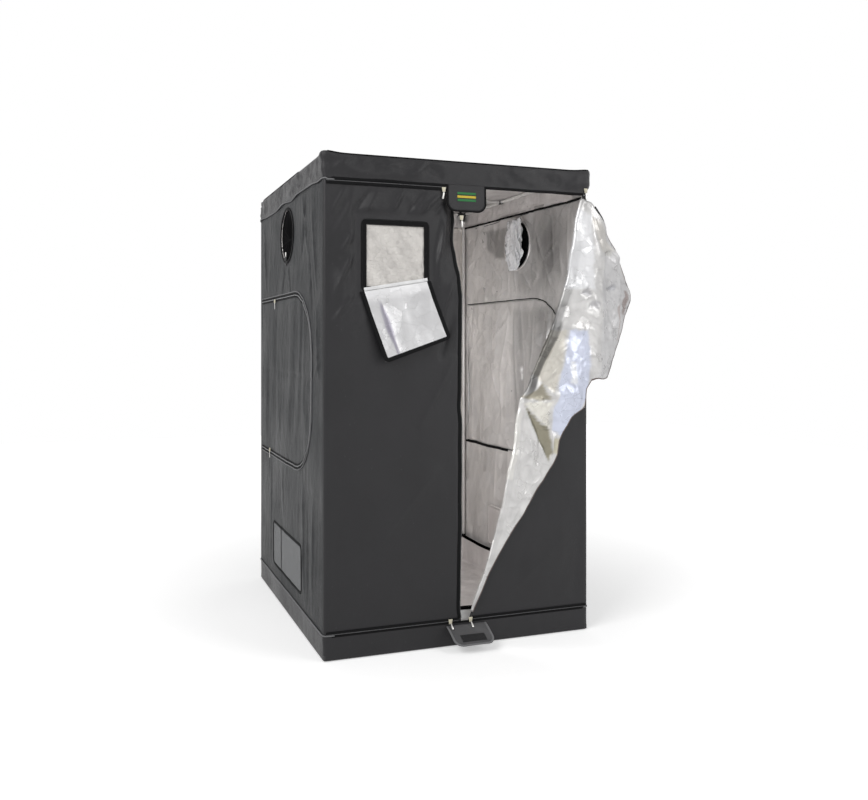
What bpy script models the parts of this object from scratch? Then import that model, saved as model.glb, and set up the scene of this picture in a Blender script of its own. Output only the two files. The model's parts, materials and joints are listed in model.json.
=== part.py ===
"""Indoor grow tent: a tube frame under a black cloth cover, with the right half of its front door folded back.

Metres, +Z up. The origin is the centre of the base on the floor, and the front wall faces -Y.
"""
import math

import bmesh
import bpy
from mathutils import Matrix, Vector

# Whole tent
TENT_WIDTH = 1.2
TENT_DEPTH = 1.2
TENT_HEIGHT = 2.0
CLOTH = 0.0015
SEAM_GAP = 0.0003
SKIRT_HEIGHT = 0.107
TUB_HEIGHT = 0.1

# Frame
POLE_RADIUS = 0.008
POLE_WALL = 0.001
BLOCK_SIZE = 0.022
PEG_SIDE = 0.0085
PEG_LENGTH = 0.04
CLIP_WALL = 0.0025
CLIP_LENGTH = 0.022
CLIP_MOUTH_ANGLE = math.radians(100)
CROSSBAR_PLACES = {"front": -0.2, "back": 0.15}

# Floor tray
TRAY_HEIGHT = 0.15

# Front door
DOOR_SPLIT_X = 0.0
FOLD_END_TRIM = 0.035
FOLD_START_TRIM = 0.06
FOLD_TIP_WIDTH = 0.01
FOLD_LIFT = 0.012
FOLD_ROLL = 0.02
FOLD_GATHER_SHARE = 0.22
FOLD_GATHER_POWER = 2.5
FOLD_WRAP_ANGLE = math.radians(34)
FOLD_WRAP_RADIUS = 0.1
FOLD_SAG = 0.07
FOLD_SAG_RUN = 0.06
FOLD_RIDGE_HEIGHT = 0.016
FOLD_RIDGE_PITCH = 0.19
FOLD_RIDGE_FAN = 0.9
FOLD_ROWS = 24
FOLD_COLUMNS = 13

# Window in the left door half, and the cover that hangs from a tilted fold
WINDOW_FROM_EDGE = 0.155
WINDOW_BELOW_SKIRT = 0.149
WINDOW_WIDTH = 0.294
WINDOW_HEIGHT = 0.292
BINDING_WIDTH = 0.023
BINDING_THICKNESS = 0.002
COVER_TILT = math.radians(9.5)
COVER_HANG = math.radians(6)
COVER_HOLLOW = 0.004
COVER_STEPS = 8

# Storm flaps over the ends of the zips
STORM_CENTRE_X = 0.015
STORM_WIDTH = 0.178
STORM_LENGTH = 0.112
STORM_CORNER = 0.038
STORM_OVERLAP = 0.01
BOTTOM_STORM_DROOP = math.radians(24)
BOTTOM_STORM_BELOW_SEAM = 0.014
PATCH_WIDTH = 0.107
PATCH_LENGTH = 0.035
PATCH_THICKNESS = 0.0015
PATCH_FROM_END = 0.018

# Round ports in the side walls
PORT_RADIUS = 0.12
PORT_Y = 0.0
PORT_BELOW_SKIRT = 0.028
SLEEVE_LENGTH = 0.05

# D-shaped side doors, between the ports and the vents
SIDE_DOOR_FROM_FRONT = 0.18
SIDE_DOOR_FROM_BACK = 0.05
SIDE_DOOR_ABOVE_VENT = 0.335
SIDE_DOOR_BELOW_PORT = 0.16
SIDE_DOOR_CORNER_SHARE = 0.353
ZIP_GAP = 0.0006

# Low mesh vents in the side walls
VENT_CENTRE_Y = 0.015
VENT_WIDTH = 0.53
VENT_HEIGHT = 0.197
VENT_ABOVE_TUB = 0.068
VENT_CORNER = 0.02
VENT_COVER_LAP = 0.012
VENT_COVER_BOTTOM_LAP = 0.008

# Zip sliders with their pulls
SLIDER_WIDTH = 0.015
SLIDER_HEIGHT = 0.018
PULL_NECK = 0.004
PULL_NECK_LENGTH = 0.005
PULL_WIDTH = 0.008
PULL_LENGTH = 0.03
SLIDER_THICKNESS = 0.004
TOP_LEFT_SLIDER_X = -0.088
CENTRE_SLIDER_BELOW_SKIRT = 0.118
CENTRE_SLIDER_INSET = 0.008
TOP_RIGHT_SLIDER_INSET = 0.012
BOTTOM_LEFT_SLIDER_X = -0.058
BOTTOM_RIGHT_SLIDER_X = 0.033
TOP_SLIDER_DROP = 0.006
TOP_RIGHT_SLIDER_RISE = 0.028
BOTTOM_SLIDER_RISE = 0.013
BOTTOM_PULL_DROOP = math.radians(42)
BOTTOM_PULL_THICKNESS = 0.0012
SIDE_SLIDER_TOP_FROM_HINGE = 0.318
SIDE_SLIDER_BOTTOM_FROM_HINGE = 0.205
SIDE_SLIDER_INSET = 0.003

POLE_SIDES = 16
PORT_SIDES = 40
CORNER_STEPS = 10
CLIP_STEPS = 12

# Places worked out from the sizes above
HALF_WIDTH = TENT_WIDTH / 2
HALF_DEPTH = TENT_DEPTH / 2
HALF_CLOTH = CLOTH / 2
FRONT_Y = -HALF_DEPTH
BACK_Y = HALF_DEPTH
SKIRT_BOTTOM = TENT_HEIGHT - SKIRT_HEIGHT
WALL_BOTTOM = TUB_HEIGHT + SEAM_GAP
WALL_TOP = SKIRT_BOTTOM - SEAM_GAP
LINING_STEP = CLOTH + SEAM_GAP
BLOCK_X = HALF_WIDTH - LINING_STEP - BLOCK_SIZE / 2
BLOCK_Y = HALF_DEPTH - LINING_STEP - BLOCK_SIZE / 2
BLOCK_LOW_Z = LINING_STEP + BLOCK_SIZE / 2
BLOCK_HIGH_Z = TENT_HEIGHT - LINING_STEP - BLOCK_SIZE / 2
CLIP_INNER = POLE_RADIUS + SEAM_GAP
CLIP_OUTER = CLIP_INNER + CLIP_WALL
WINDOW_LEFT = WINDOW_FROM_EDGE - HALF_WIDTH
WINDOW_TOP = SKIRT_BOTTOM - WINDOW_BELOW_SKIRT
WINDOW_BOTTOM = WINDOW_TOP - WINDOW_HEIGHT
BOTTOM_STORM_HINGE_Z = TUB_HEIGHT - BOTTOM_STORM_BELOW_SEAM
PORT_Z = SKIRT_BOTTOM - PORT_BELOW_SKIRT - PORT_RADIUS
VENT_FRONT_Y = VENT_CENTRE_Y - VENT_WIDTH / 2
VENT_BACK_Y = VENT_CENTRE_Y + VENT_WIDTH / 2
VENT_BOTTOM = TUB_HEIGHT + VENT_ABOVE_TUB
VENT_TOP = VENT_BOTTOM + VENT_HEIGHT
SIDE_DOOR_FRONT_Y = SIDE_DOOR_FROM_FRONT - HALF_DEPTH
SIDE_DOOR_BACK_Y = HALF_DEPTH - SIDE_DOOR_FROM_BACK
SIDE_DOOR_BOTTOM = VENT_TOP + SIDE_DOOR_ABOVE_VENT
SIDE_DOOR_TOP = PORT_Z - PORT_RADIUS - SIDE_DOOR_BELOW_PORT
SIDE_DOOR_CORNER = (SIDE_DOOR_TOP - SIDE_DOOR_BOTTOM) * SIDE_DOOR_CORNER_SHARE

FRONT_PLANE = Matrix(((1, 0, 0), (0, 0, -1), (0, 1, 0))).to_4x4()
SIDE_PLANE = Matrix(((0, 0, 1), (1, 0, 0), (0, 1, 0))).to_4x4()

FINISHES = {
    "outer_cloth": ((0.042, 0.041, 0.044, 1), 0.75, 0.0),
    "silver_lining": ((0.72, 0.71, 0.7, 1), 0.3, 0.8),
    "pole_metal": ((0.62, 0.61, 0.6, 1), 0.35, 0.9),
    "black_plastic": ((0.03, 0.03, 0.03, 1), 0.5, 0.0),
    "window_film": ((0.6, 0.57, 0.54, 1), 0.3, 0.6),
    "black_binding": ((0.015, 0.015, 0.016, 1), 0.7, 0.0),
    "vent_mesh": ((0.16, 0.165, 0.17, 1), 0.8, 0.0),
    "cream_plastic": ((0.75, 0.72, 0.6, 1), 0.4, 0.0),
    "hook_patch": ((0.02, 0.02, 0.022, 1), 0.95, 0.0),
}


def clear_scene():
    for old in list(bpy.data.objects):
        bpy.data.objects.remove(old, do_unlink=True)


def finish(name):
    """One material for each finish, made when it is first needed."""
    made = bpy.data.materials.get(name)
    if made:
        return made
    colour, roughness, metallic = FINISHES[name]
    made = bpy.data.materials.new(name)
    made.use_nodes = True
    shader = made.node_tree.nodes["Principled BSDF"]
    shader.inputs["Base Color"].default_value = colour
    shader.inputs["Roughness"].default_value = roughness
    shader.inputs["Metallic"].default_value = metallic
    return made


def add_object(name, data, material, pivot=None):
    data.materials.append(finish(material))
    made = bpy.data.objects.new(name, data)
    bpy.context.collection.objects.link(made)
    if pivot:
        made.parent = pivot
        made.matrix_parent_inverse = Matrix.Translation(-pivot.location)
    return made


def add_pivot(name, place):
    """An empty on a joint's axis, which carries the pieces that move about it."""
    pivot = bpy.data.objects.new(name, None)
    pivot.location = place
    bpy.context.collection.objects.link(pivot)
    return pivot


def plate(name, outlines, place, thickness, material, pivot=None):
    """A flat piece: its outlines, with any holes, filled and given a thickness about the plane of its place."""
    curve = bpy.data.curves.new(name, "CURVE")
    curve.dimensions = "2D"
    curve.fill_mode = "BOTH"
    curve.extrude = thickness / 2
    for outline in outlines:
        spline = curve.splines.new("POLY")
        spline.points.add(len(outline[1:]))
        for point, (x, y) in zip(spline.points, outline, strict=True):
            point.co = (x, y, 0, 1)
        spline.use_cyclic_u = True
    made = add_object(name, curve, material, pivot)
    made.matrix_basis = place
    return made


def front_place(y):
    return Matrix.Translation((0, y, 0)) @ FRONT_PLANE


def side_place(x):
    return Matrix.Translation((x, 0, 0)) @ SIDE_PLANE


def rectangle(left, bottom, right, top):
    return [(left, bottom), (right, bottom), (right, top), (left, top)]


def arc(centre, radius, start, end, steps):
    angles = [start + (end - start) * i / steps for i in range(steps + 1)]
    return [(centre[0] + radius * math.cos(a), centre[1] + radius * math.sin(a)) for a in angles]


def circle(centre, radius, sides):
    return arc(centre, radius, 0, math.tau, sides)[:-1]


def rounded(left, bottom, right, top, radius):
    """A rectangle with four round corners, anticlockwise from its lower left."""
    quarter = math.pi / 2
    corners = [
        ((left + radius, bottom + radius), 2),
        ((right - radius, bottom + radius), 3),
        ((right - radius, top - radius), 0),
        ((left + radius, top - radius), 1),
    ]
    outline = []
    for centre, turn in corners:
        outline += arc(centre, radius, turn * quarter, (turn + 1) * quarter, CORNER_STEPS)
    return outline


def closed_mesh(name, bm):
    bmesh.ops.recalc_face_normals(bm, faces=bm.faces)
    mesh = bpy.data.meshes.new(name)
    bm.to_mesh(mesh)
    bm.free()
    return mesh


def open_box(name, low, high, open_top, material):
    """A cloth box with one open side: four walls with a floor, or four walls with a roof."""
    bm = bmesh.new()
    bmesh.ops.create_cube(bm, size=1)
    middle = (Vector(low) + Vector(high)) / 2
    size = Vector(high) - Vector(low)
    bmesh.ops.scale(bm, vec=size, verts=bm.verts)
    bmesh.ops.translate(bm, vec=middle, verts=bm.verts)
    facing = 1 if open_top else -1
    missing = [face for face in bm.faces if face.normal.z * facing > 0 and not round(face.normal.x + face.normal.y)]
    bmesh.ops.delete(bm, geom=missing, context="FACES")
    mesh = bpy.data.meshes.new(name)
    bm.to_mesh(mesh)
    bm.free()
    made = add_object(name, mesh, material)
    thicken = made.modifiers.new("cloth", "SOLIDIFY")
    thicken.thickness = CLOTH
    thicken.offset = -1
    thicken.use_even_offset = True
    return made


def cloth_grid(name, rows, columns, point, material, pivot):
    """A curved sheet over a grid of points, thickened evenly to both sides."""
    bm = bmesh.new()
    grid = [
        [bm.verts.new(point(row / rows, column / columns)) for column in range(columns + 1)]
        for row in range(rows + 1)
    ]
    for row in range(rows):
        for column in range(columns):
            here, above = grid[row], grid[row + 1]
            bm.faces.new((here[column], here[column + 1], above[column + 1], above[column]))
    made = add_object(name, closed_mesh(name, bm), material, pivot)
    made.data.shade_smooth()
    thicken = made.modifiers.new("cloth", "SOLIDIFY")
    thicken.thickness = CLOTH
    thicken.offset = 0
    return made


# Frame
def pole(name, start, end, pivot=None):
    """A round tube between two points along one of the tent's three directions."""
    run = Vector(end) - Vector(start)
    place = Matrix.Translation((Vector(start) + Vector(end)) / 2) @ run.to_track_quat("Z", "Y").to_matrix().to_4x4()
    rings = [circle((0, 0), POLE_RADIUS, POLE_SIDES), circle((0, 0), POLE_RADIUS - POLE_WALL, POLE_SIDES)]
    return plate(name, rings, place, run.length, "pole_metal", pivot)


def corner_block(name, side_x, side_y, side_z):
    """A three-way block: a cube with a peg into each pole that meets there."""
    bm = bmesh.new()
    bmesh.ops.create_cube(bm, size=BLOCK_SIZE)
    inward = [Vector((-side_x, 0, 0)), Vector((0, -side_y, 0)), Vector((0, 0, -side_z))]
    for way in inward:
        bm.normal_update()
        face = max(bm.faces, key=lambda f: f.normal.dot(way) * f.calc_area())
        border = (BLOCK_SIZE - PEG_SIDE) / 2
        bmesh.ops.inset_region(bm, faces=[face], thickness=border, use_even_offset=True)
        pushed = bmesh.ops.extrude_discrete_faces(bm, faces=[face])["faces"]
        bmesh.ops.translate(bm, vec=way * PEG_LENGTH, verts=pushed[0].verts)
    made = add_object(name, closed_mesh(name, bm), "black_plastic")
    made.location = (side_x * BLOCK_X, side_y * BLOCK_Y, BLOCK_HIGH_Z if side_z > 0 else BLOCK_LOW_Z)
    return made


def frame():
    reach_x = BLOCK_X - BLOCK_SIZE / 2 - SEAM_GAP
    reach_y = BLOCK_Y - BLOCK_SIZE / 2 - SEAM_GAP
    post_low = BLOCK_LOW_Z + BLOCK_SIZE / 2 + SEAM_GAP
    post_high = BLOCK_HIGH_Z - BLOCK_SIZE / 2 - SEAM_GAP
    for depth_name, side_y in (("front", -1), ("back", 1)):
        y = side_y * BLOCK_Y
        for side_name, side_x in (("left", -1), ("right", 1)):
            x = side_x * BLOCK_X
            pole(f"post_{depth_name}_{side_name}", (x, y, post_low), (x, y, post_high))
            corner_block(f"top_corner_{depth_name}_{side_name}", side_x, side_y, 1)
            corner_block(f"bottom_corner_{depth_name}_{side_name}", side_x, side_y, -1)
        for level, z in (("top", BLOCK_HIGH_Z), ("bottom", BLOCK_LOW_Z)):
            pole(f"{level}_rail_{depth_name}", (-reach_x, y, z), (reach_x, y, z))
    for side_name, side_x in (("left", -1), ("right", 1)):
        x = side_x * BLOCK_X
        for level, z in (("top", BLOCK_HIGH_Z), ("bottom", BLOCK_LOW_Z)):
            pole(f"{level}_rail_{side_name}", (x, -reach_y, z), (x, reach_y, z))


def crossbar_clip(name, x, y, pivot):
    """A clip that is open on top and slides along a side rail."""
    start = math.pi / 2 + CLIP_MOUTH_ANGLE / 2
    end = math.pi * 5 / 2 - CLIP_MOUTH_ANGLE / 2
    centre = (x, BLOCK_HIGH_Z)
    outline = arc(centre, CLIP_OUTER, start, end, CLIP_STEPS)
    outline += arc(centre, CLIP_INNER, end, start, CLIP_STEPS)
    plate(name, [outline], front_place(y), CLIP_LENGTH, "black_plastic", pivot)


def crossbars():
    """Two bars under the roof, for a lamp and a filter, held by a clip at each end."""
    for name, y in CROSSBAR_PLACES.items():
        pivot = add_pivot(f"crossbar_{name}_slide", (0, y, BLOCK_HIGH_Z))
        reach = BLOCK_X - CLIP_OUTER - SEAM_GAP
        pole(f"crossbar_{name}", (-reach, y, BLOCK_HIGH_Z), (reach, y, BLOCK_HIGH_Z), pivot)
        crossbar_clip(f"crossbar_{name}_clip_left", -BLOCK_X, y, pivot)
        crossbar_clip(f"crossbar_{name}_clip_right", BLOCK_X, y, pivot)


# Cover and tray
def side_door_outline(grow):
    """A D: square where it is hinged at the back, with two large round corners at the front."""
    front = SIDE_DOOR_FRONT_Y - grow
    back = SIDE_DOOR_BACK_Y
    bottom = SIDE_DOOR_BOTTOM - grow
    top = SIDE_DOOR_TOP + grow
    radius = SIDE_DOOR_CORNER + grow
    outline = [(back + grow, bottom), (back + grow, top)]
    outline += arc((front + radius, top - radius), radius, math.pi / 2, math.pi, CORNER_STEPS)
    outline += arc((front + radius, bottom + radius), radius, math.pi, math.pi * 3 / 2, CORNER_STEPS)
    return outline


def vent_outline(shrink):
    return rounded(
        VENT_FRONT_Y + shrink,
        VENT_BOTTOM + shrink,
        VENT_BACK_Y - shrink,
        VENT_TOP - shrink,
        VENT_CORNER - shrink,
    )


def side_wall(side_name, side_x):
    """A side wall with its port, its door and its vent cut out, and the pieces that fill them."""
    x = side_x * (HALF_WIDTH - HALF_CLOTH)
    outside = rectangle(FRONT_Y + LINING_STEP, WALL_BOTTOM, BACK_Y - LINING_STEP, WALL_TOP)
    holes = [circle((PORT_Y, PORT_Z), PORT_RADIUS, PORT_SIDES), side_door_outline(ZIP_GAP), vent_outline(0)]
    plate(f"{side_name}_wall", [outside, *holes], side_place(x), CLOTH, "outer_cloth")
    plate(f"{side_name}_vent_mesh", [vent_outline(SEAM_GAP)], side_place(x), CLOTH, "vent_mesh")

    sleeve_outer = PORT_RADIUS - SEAM_GAP
    sleeve_x = side_x * (HALF_WIDTH - SLEEVE_LENGTH / 2)
    rings = [circle((PORT_Y, PORT_Z), r, PORT_SIDES) for r in (sleeve_outer, sleeve_outer - CLOTH)]
    plate(f"{side_name}_port_sleeve", rings, side_place(sleeve_x), SLEEVE_LENGTH, "silver_lining")

    cover_top = VENT_TOP + VENT_COVER_LAP
    cover_x = side_x * (HALF_WIDTH - CLOTH - SEAM_GAP - HALF_CLOTH)
    hinge = add_pivot(f"{side_name}_vent_cover_hinge", (cover_x, 0, cover_top))
    cover = rectangle(
        VENT_FRONT_Y - VENT_COVER_LAP,
        VENT_BOTTOM - VENT_COVER_BOTTOM_LAP,
        VENT_BACK_Y + VENT_COVER_LAP,
        cover_top,
    )
    plate(f"{side_name}_vent_cover", [cover], side_place(cover_x), CLOTH, "silver_lining", hinge)

    hinge = add_pivot(f"{side_name}_side_door_hinge", (side_x * HALF_WIDTH, SIDE_DOOR_BACK_Y, SIDE_DOOR_BOTTOM))
    plate(f"{side_name}_side_door", [side_door_outline(0)], side_place(x), CLOTH, "outer_cloth", hinge)
    slider_x = side_x * (HALF_WIDTH + SEAM_GAP + SLIDER_THICKNESS / 2)
    top_z = SIDE_DOOR_TOP - SIDE_SLIDER_INSET
    bottom_z = SIDE_DOOR_BOTTOM + SIDE_SLIDER_INSET + SLIDER_HEIGHT
    places = {
        "top": (SIDE_DOOR_BACK_Y - SIDE_SLIDER_TOP_FROM_HINGE, top_z),
        "bottom": (SIDE_DOOR_BACK_Y - SIDE_SLIDER_BOTTOM_FROM_HINGE, bottom_z),
    }
    for end_name, (y, z) in places.items():
        name = f"{side_name}_side_door_{end_name}_slider"
        slide = add_pivot(f"{name}_slide", (slider_x, y, z))
        plate(name, [slider_outline(y, z)], side_place(slider_x), SLIDER_THICKNESS, "cream_plastic", slide)


def cover():
    open_box("roof_cap", (-HALF_WIDTH, FRONT_Y, SKIRT_BOTTOM), (HALF_WIDTH, BACK_Y, TENT_HEIGHT), False, "outer_cloth")
    open_box("base_tub", (-HALF_WIDTH, FRONT_Y, 0), (HALF_WIDTH, BACK_Y, TUB_HEIGHT), True, "outer_cloth")
    tray_x = BLOCK_X - BLOCK_SIZE / 2 - SEAM_GAP
    tray_y = BLOCK_Y - BLOCK_SIZE / 2 - SEAM_GAP
    open_box("floor_tray", (-tray_x, -tray_y, LINING_STEP), (tray_x, tray_y, TRAY_HEIGHT), True, "silver_lining")
    back = rectangle(-HALF_WIDTH, WALL_BOTTOM, HALF_WIDTH, WALL_TOP)
    plate("back_wall", [back], front_place(BACK_Y - HALF_CLOTH), CLOTH, "outer_cloth")
    side_wall("left", -1)
    side_wall("right", 1)


# Zip sliders
def stepped(x, widths, heights):
    """An outline that is the same to both sides of a line, from its widths at heights from top to bottom."""
    left = [(x - width / 2, z) for width, z in zip(widths, heights, strict=True)]
    right = [(x + width / 2, z) for width, z in zip(widths, heights, strict=True)]
    return left + right[::-1]


def slider_outline(x, top):
    """A slider from the front: its body, a narrow neck and the pull that hangs from it."""
    widths = [SLIDER_WIDTH, SLIDER_WIDTH, PULL_NECK, PULL_NECK, PULL_WIDTH, PULL_WIDTH]
    neck_top = top - SLIDER_HEIGHT
    pull_top = neck_top - PULL_NECK_LENGTH
    heights = [top, neck_top, neck_top, pull_top, pull_top, pull_top - PULL_LENGTH]
    return stepped(x, widths, heights)


def front_slider(name, x, top):
    y = FRONT_Y - SEAM_GAP - SLIDER_THICKNESS / 2
    slide = add_pivot(f"{name}_slide", (x, y, top))
    plate(name, [slider_outline(x, top)], front_place(y), SLIDER_THICKNESS, "cream_plastic", slide)


def bottom_slider(name, x):
    """A slider whose pull droops over the open storm flap below it, and turns up when that flap is closed."""
    top = TUB_HEIGHT + BOTTOM_SLIDER_RISE
    low = top - SLIDER_HEIGHT
    y = FRONT_Y - SEAM_GAP - SLIDER_THICKNESS / 2
    half = SLIDER_WIDTH / 2
    slide = add_pivot(f"{name}_slide", (x, y, top))
    plate(name, [rectangle(x - half, low, x + half, top)], front_place(y), SLIDER_THICKNESS, "cream_plastic", slide)

    pull_y = FRONT_Y - SEAM_GAP - SLIDER_THICKNESS - SEAM_GAP - BOTTOM_PULL_THICKNESS / 2
    hinge = add_pivot(f"{name}_pull_hinge", (x, pull_y, low + PULL_NECK))
    widths = [PULL_NECK, PULL_NECK, PULL_WIDTH, PULL_WIDTH]
    heights = [0, -PULL_NECK_LENGTH, -PULL_NECK_LENGTH, -PULL_NECK_LENGTH - PULL_LENGTH]
    lift = Matrix.Rotation(BOTTOM_PULL_DROOP - math.pi / 2, 4, "X")
    place = Matrix.Translation(hinge.location) @ lift @ FRONT_PLANE
    plate(f"{name}_pull", [stepped(0, widths, heights)], place, BOTTOM_PULL_THICKNESS, "pole_metal", hinge)


def front_sliders():
    top = SKIRT_BOTTOM - TOP_SLIDER_DROP
    corner_top = SKIRT_BOTTOM + TOP_RIGHT_SLIDER_RISE
    front_slider("top_left_slider", TOP_LEFT_SLIDER_X, top)
    front_slider("centre_slider", DOOR_SPLIT_X - CENTRE_SLIDER_INSET, SKIRT_BOTTOM - CENTRE_SLIDER_BELOW_SKIRT)
    front_slider("top_right_slider", HALF_WIDTH - TOP_RIGHT_SLIDER_INSET, corner_top)
    bottom_slider("bottom_left_slider", BOTTOM_LEFT_SLIDER_X)
    bottom_slider("bottom_right_slider", BOTTOM_RIGHT_SLIDER_X)


# Left door half with its window
def left_door():
    hinge = add_pivot("left_door_hinge", (-HALF_WIDTH, FRONT_Y, TUB_HEIGHT))
    panel = rectangle(-HALF_WIDTH, WALL_BOTTOM, DOOR_SPLIT_X - SEAM_GAP, WALL_TOP)
    right = WINDOW_LEFT + WINDOW_WIDTH
    outer = rectangle(WINDOW_LEFT, WINDOW_BOTTOM, right, WINDOW_TOP)
    edge = BINDING_WIDTH
    inner = rectangle(WINDOW_LEFT + edge, WINDOW_BOTTOM + edge, right - edge, WINDOW_TOP - edge)
    edge += SEAM_GAP
    film = rectangle(WINDOW_LEFT + edge, WINDOW_BOTTOM + edge, right - edge, WINDOW_TOP - edge)
    middle_y = FRONT_Y + HALF_CLOTH
    binding_y = FRONT_Y - SEAM_GAP - BINDING_THICKNESS / 2
    plate("left_door", [panel, inner], front_place(middle_y), CLOTH, "outer_cloth", hinge)
    plate("window_film", [film], front_place(middle_y), CLOTH, "window_film", hinge)
    plate("window_binding", [outer, inner], front_place(binding_y), BINDING_THICKNESS, "black_binding", hinge)


def window_cover():
    """The cover is as wide and high as the window when it is folded up, and hangs askew from its tilted fold."""
    start = Vector((WINDOW_LEFT, WINDOW_BOTTOM))
    fold = Vector((math.cos(COVER_TILT), math.sin(COVER_TILT)))
    fold_end = start + fold * (WINDOW_WIDTH / fold.x)

    def folded_down(corner):
        away = corner - start
        return start + 2 * away.dot(fold) * fold - away

    low_left = folded_down(start + Vector((0, WINDOW_HEIGHT)))
    low_right = folded_down(start + Vector((WINDOW_WIDTH, WINDOW_HEIGHT)))
    hinge_y = FRONT_Y - SEAM_GAP - BINDING_THICKNESS - CLOTH
    depth = WINDOW_HEIGHT * math.sin(COVER_HANG)

    def point(down, across):
        flat = start.lerp(fold_end, across).lerp(low_left.lerp(low_right, across), down)
        hollow = COVER_HOLLOW * math.sin(math.pi * down) * math.sin(math.pi * across)
        return flat.x, hinge_y - depth * down + hollow, flat.y

    hinge = add_pivot("window_cover_hinge", (start.x, hinge_y, start.y))
    cloth_grid("window_cover", COVER_STEPS, COVER_STEPS, point, "silver_lining", hinge)


# Right door half, folded back along the line from the bottom of the split to the top right corner
class DoorFold:
    """The fold line in the front plane, and the cloth beyond it as distances along and across that line."""

    start = Vector((DOOR_SPLIT_X, WALL_BOTTOM))
    end = Vector((HALF_WIDTH, WALL_TOP))
    along = (end - start).normalized()
    across = Vector((along.y, -along.x))
    length = (end - start).length
    door_height = WALL_TOP - WALL_BOTTOM
    corner_along = door_height * along.y
    corner_across = door_height * along.x
    hinge_y = FRONT_Y - SEAM_GAP - SEAM_GAP - HALF_CLOTH


def cloth_width(distance):
    """How far the folded cloth reaches from the fold line at a distance along it."""
    if distance < DoorFold.corner_along:
        share = distance / DoorFold.corner_along
    else:
        share = (DoorFold.length - distance) / (DoorFold.length - DoorFold.corner_along)
    gathered = 1 - FOLD_GATHER_SHARE * (1 - min(1, distance / DoorFold.corner_along) ** FOLD_GATHER_POWER)
    return max(FOLD_TIP_WIDTH, DoorFold.corner_across * share * gathered)


def ridge(distance, out):
    """The main folds run along the cloth and fan out towards its free corner."""
    fade = 1 - math.exp(-out / FOLD_ROLL)
    phase = math.tau * (out + FOLD_RIDGE_FAN * (distance - DoorFold.corner_along) * out) / FOLD_RIDGE_PITCH
    return FOLD_RIDGE_HEIGHT * fade * (1 - math.cos(phase)) / 2


def folded_cloth(row_share, column_share):
    """A point of the folded half: lifted off the lower half, then bent back round the tent's right corner."""
    run = DoorFold.length - FOLD_START_TRIM - FOLD_END_TRIM
    distance = FOLD_START_TRIM + run * row_share
    out = cloth_width(distance) * column_share
    flat = DoorFold.start + DoorFold.along * distance + DoorFold.across * out
    lift = FOLD_LIFT * (1 - math.exp(-out / FOLD_ROLL)) + ridge(distance, out)
    beyond = flat.x - HALF_WIDTH
    if beyond <= 0:
        return flat.x, DoorFold.hinge_y - lift, flat.y
    bend_length = FOLD_WRAP_RADIUS * FOLD_WRAP_ANGLE
    turned = min(beyond, bend_length) / FOLD_WRAP_RADIUS
    straight = max(0, beyond - bend_length)
    x = HALF_WIDTH + FOLD_WRAP_RADIUS * math.sin(turned) + straight * math.cos(turned)
    y = DoorFold.hinge_y + FOLD_WRAP_RADIUS * (1 - math.cos(turned)) + straight * math.sin(turned)
    x += lift * math.sin(turned)
    y -= lift * math.cos(turned)
    sag = FOLD_SAG * (1 - math.exp(-beyond / FOLD_SAG_RUN))
    return x, y, flat.y - sag


def right_door():
    low = [DoorFold.start, Vector((HALF_WIDTH, WALL_BOTTOM)), DoorFold.end]
    plate("right_door_lower", [low], front_place(FRONT_Y + HALF_CLOTH), CLOTH, "outer_cloth")
    hinge = add_pivot("right_door_hinge", (DoorFold.start.x, DoorFold.hinge_y, DoorFold.start.y))
    cloth_grid("right_door_folded", FOLD_ROWS, FOLD_COLUMNS, folded_cloth, "silver_lining", hinge)


# Storm flaps
def storm_outline():
    """A flap that hangs down from its hinge line at the local origin, with two round lower corners."""
    half = STORM_WIDTH / 2
    radius = STORM_CORNER
    low = radius - STORM_LENGTH
    outline = [(half, 0), (-half, 0)]
    outline += arc((radius - half, low), radius, math.pi, math.pi * 3 / 2, CORNER_STEPS)
    outline += arc((half - radius, low), radius, math.pi * 3 / 2, math.tau, CORNER_STEPS)
    return outline


def storm_flaps():
    y = FRONT_Y - SEAM_GAP - HALF_CLOTH
    hinge = add_pivot("top_storm_flap_hinge", (STORM_CENTRE_X, y, SKIRT_BOTTOM + STORM_OVERLAP))
    place = Matrix.Translation(hinge.location) @ FRONT_PLANE
    plate("top_storm_flap", [storm_outline()], place, CLOTH, "outer_cloth", hinge)

    hinge = add_pivot("bottom_storm_flap_hinge", (STORM_CENTRE_X, y, BOTTOM_STORM_HINGE_Z))
    lift = Matrix.Rotation(BOTTOM_STORM_DROOP - math.pi / 2, 4, "X")
    place = Matrix.Translation(hinge.location) @ lift @ FRONT_PLANE
    plate("bottom_storm_flap", [storm_outline()], place, CLOTH, "outer_cloth", hinge)
    low = PATCH_FROM_END - STORM_LENGTH
    patch = rectangle(-PATCH_WIDTH / 2, low, PATCH_WIDTH / 2, low + PATCH_LENGTH)
    raise_patch = Matrix.Translation((0, 0, HALF_CLOTH + SEAM_GAP + PATCH_THICKNESS / 2))
    plate("bottom_flap_hook_patch", [patch], place @ raise_patch, PATCH_THICKNESS, "hook_patch", hinge)


clear_scene()
frame()
crossbars()
cover()
left_door()
window_cover()
right_door()
storm_flaps()
front_sliders()
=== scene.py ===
import json
import math

import bmesh
import bpy
from mathutils import Matrix, Vector, noise

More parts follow.
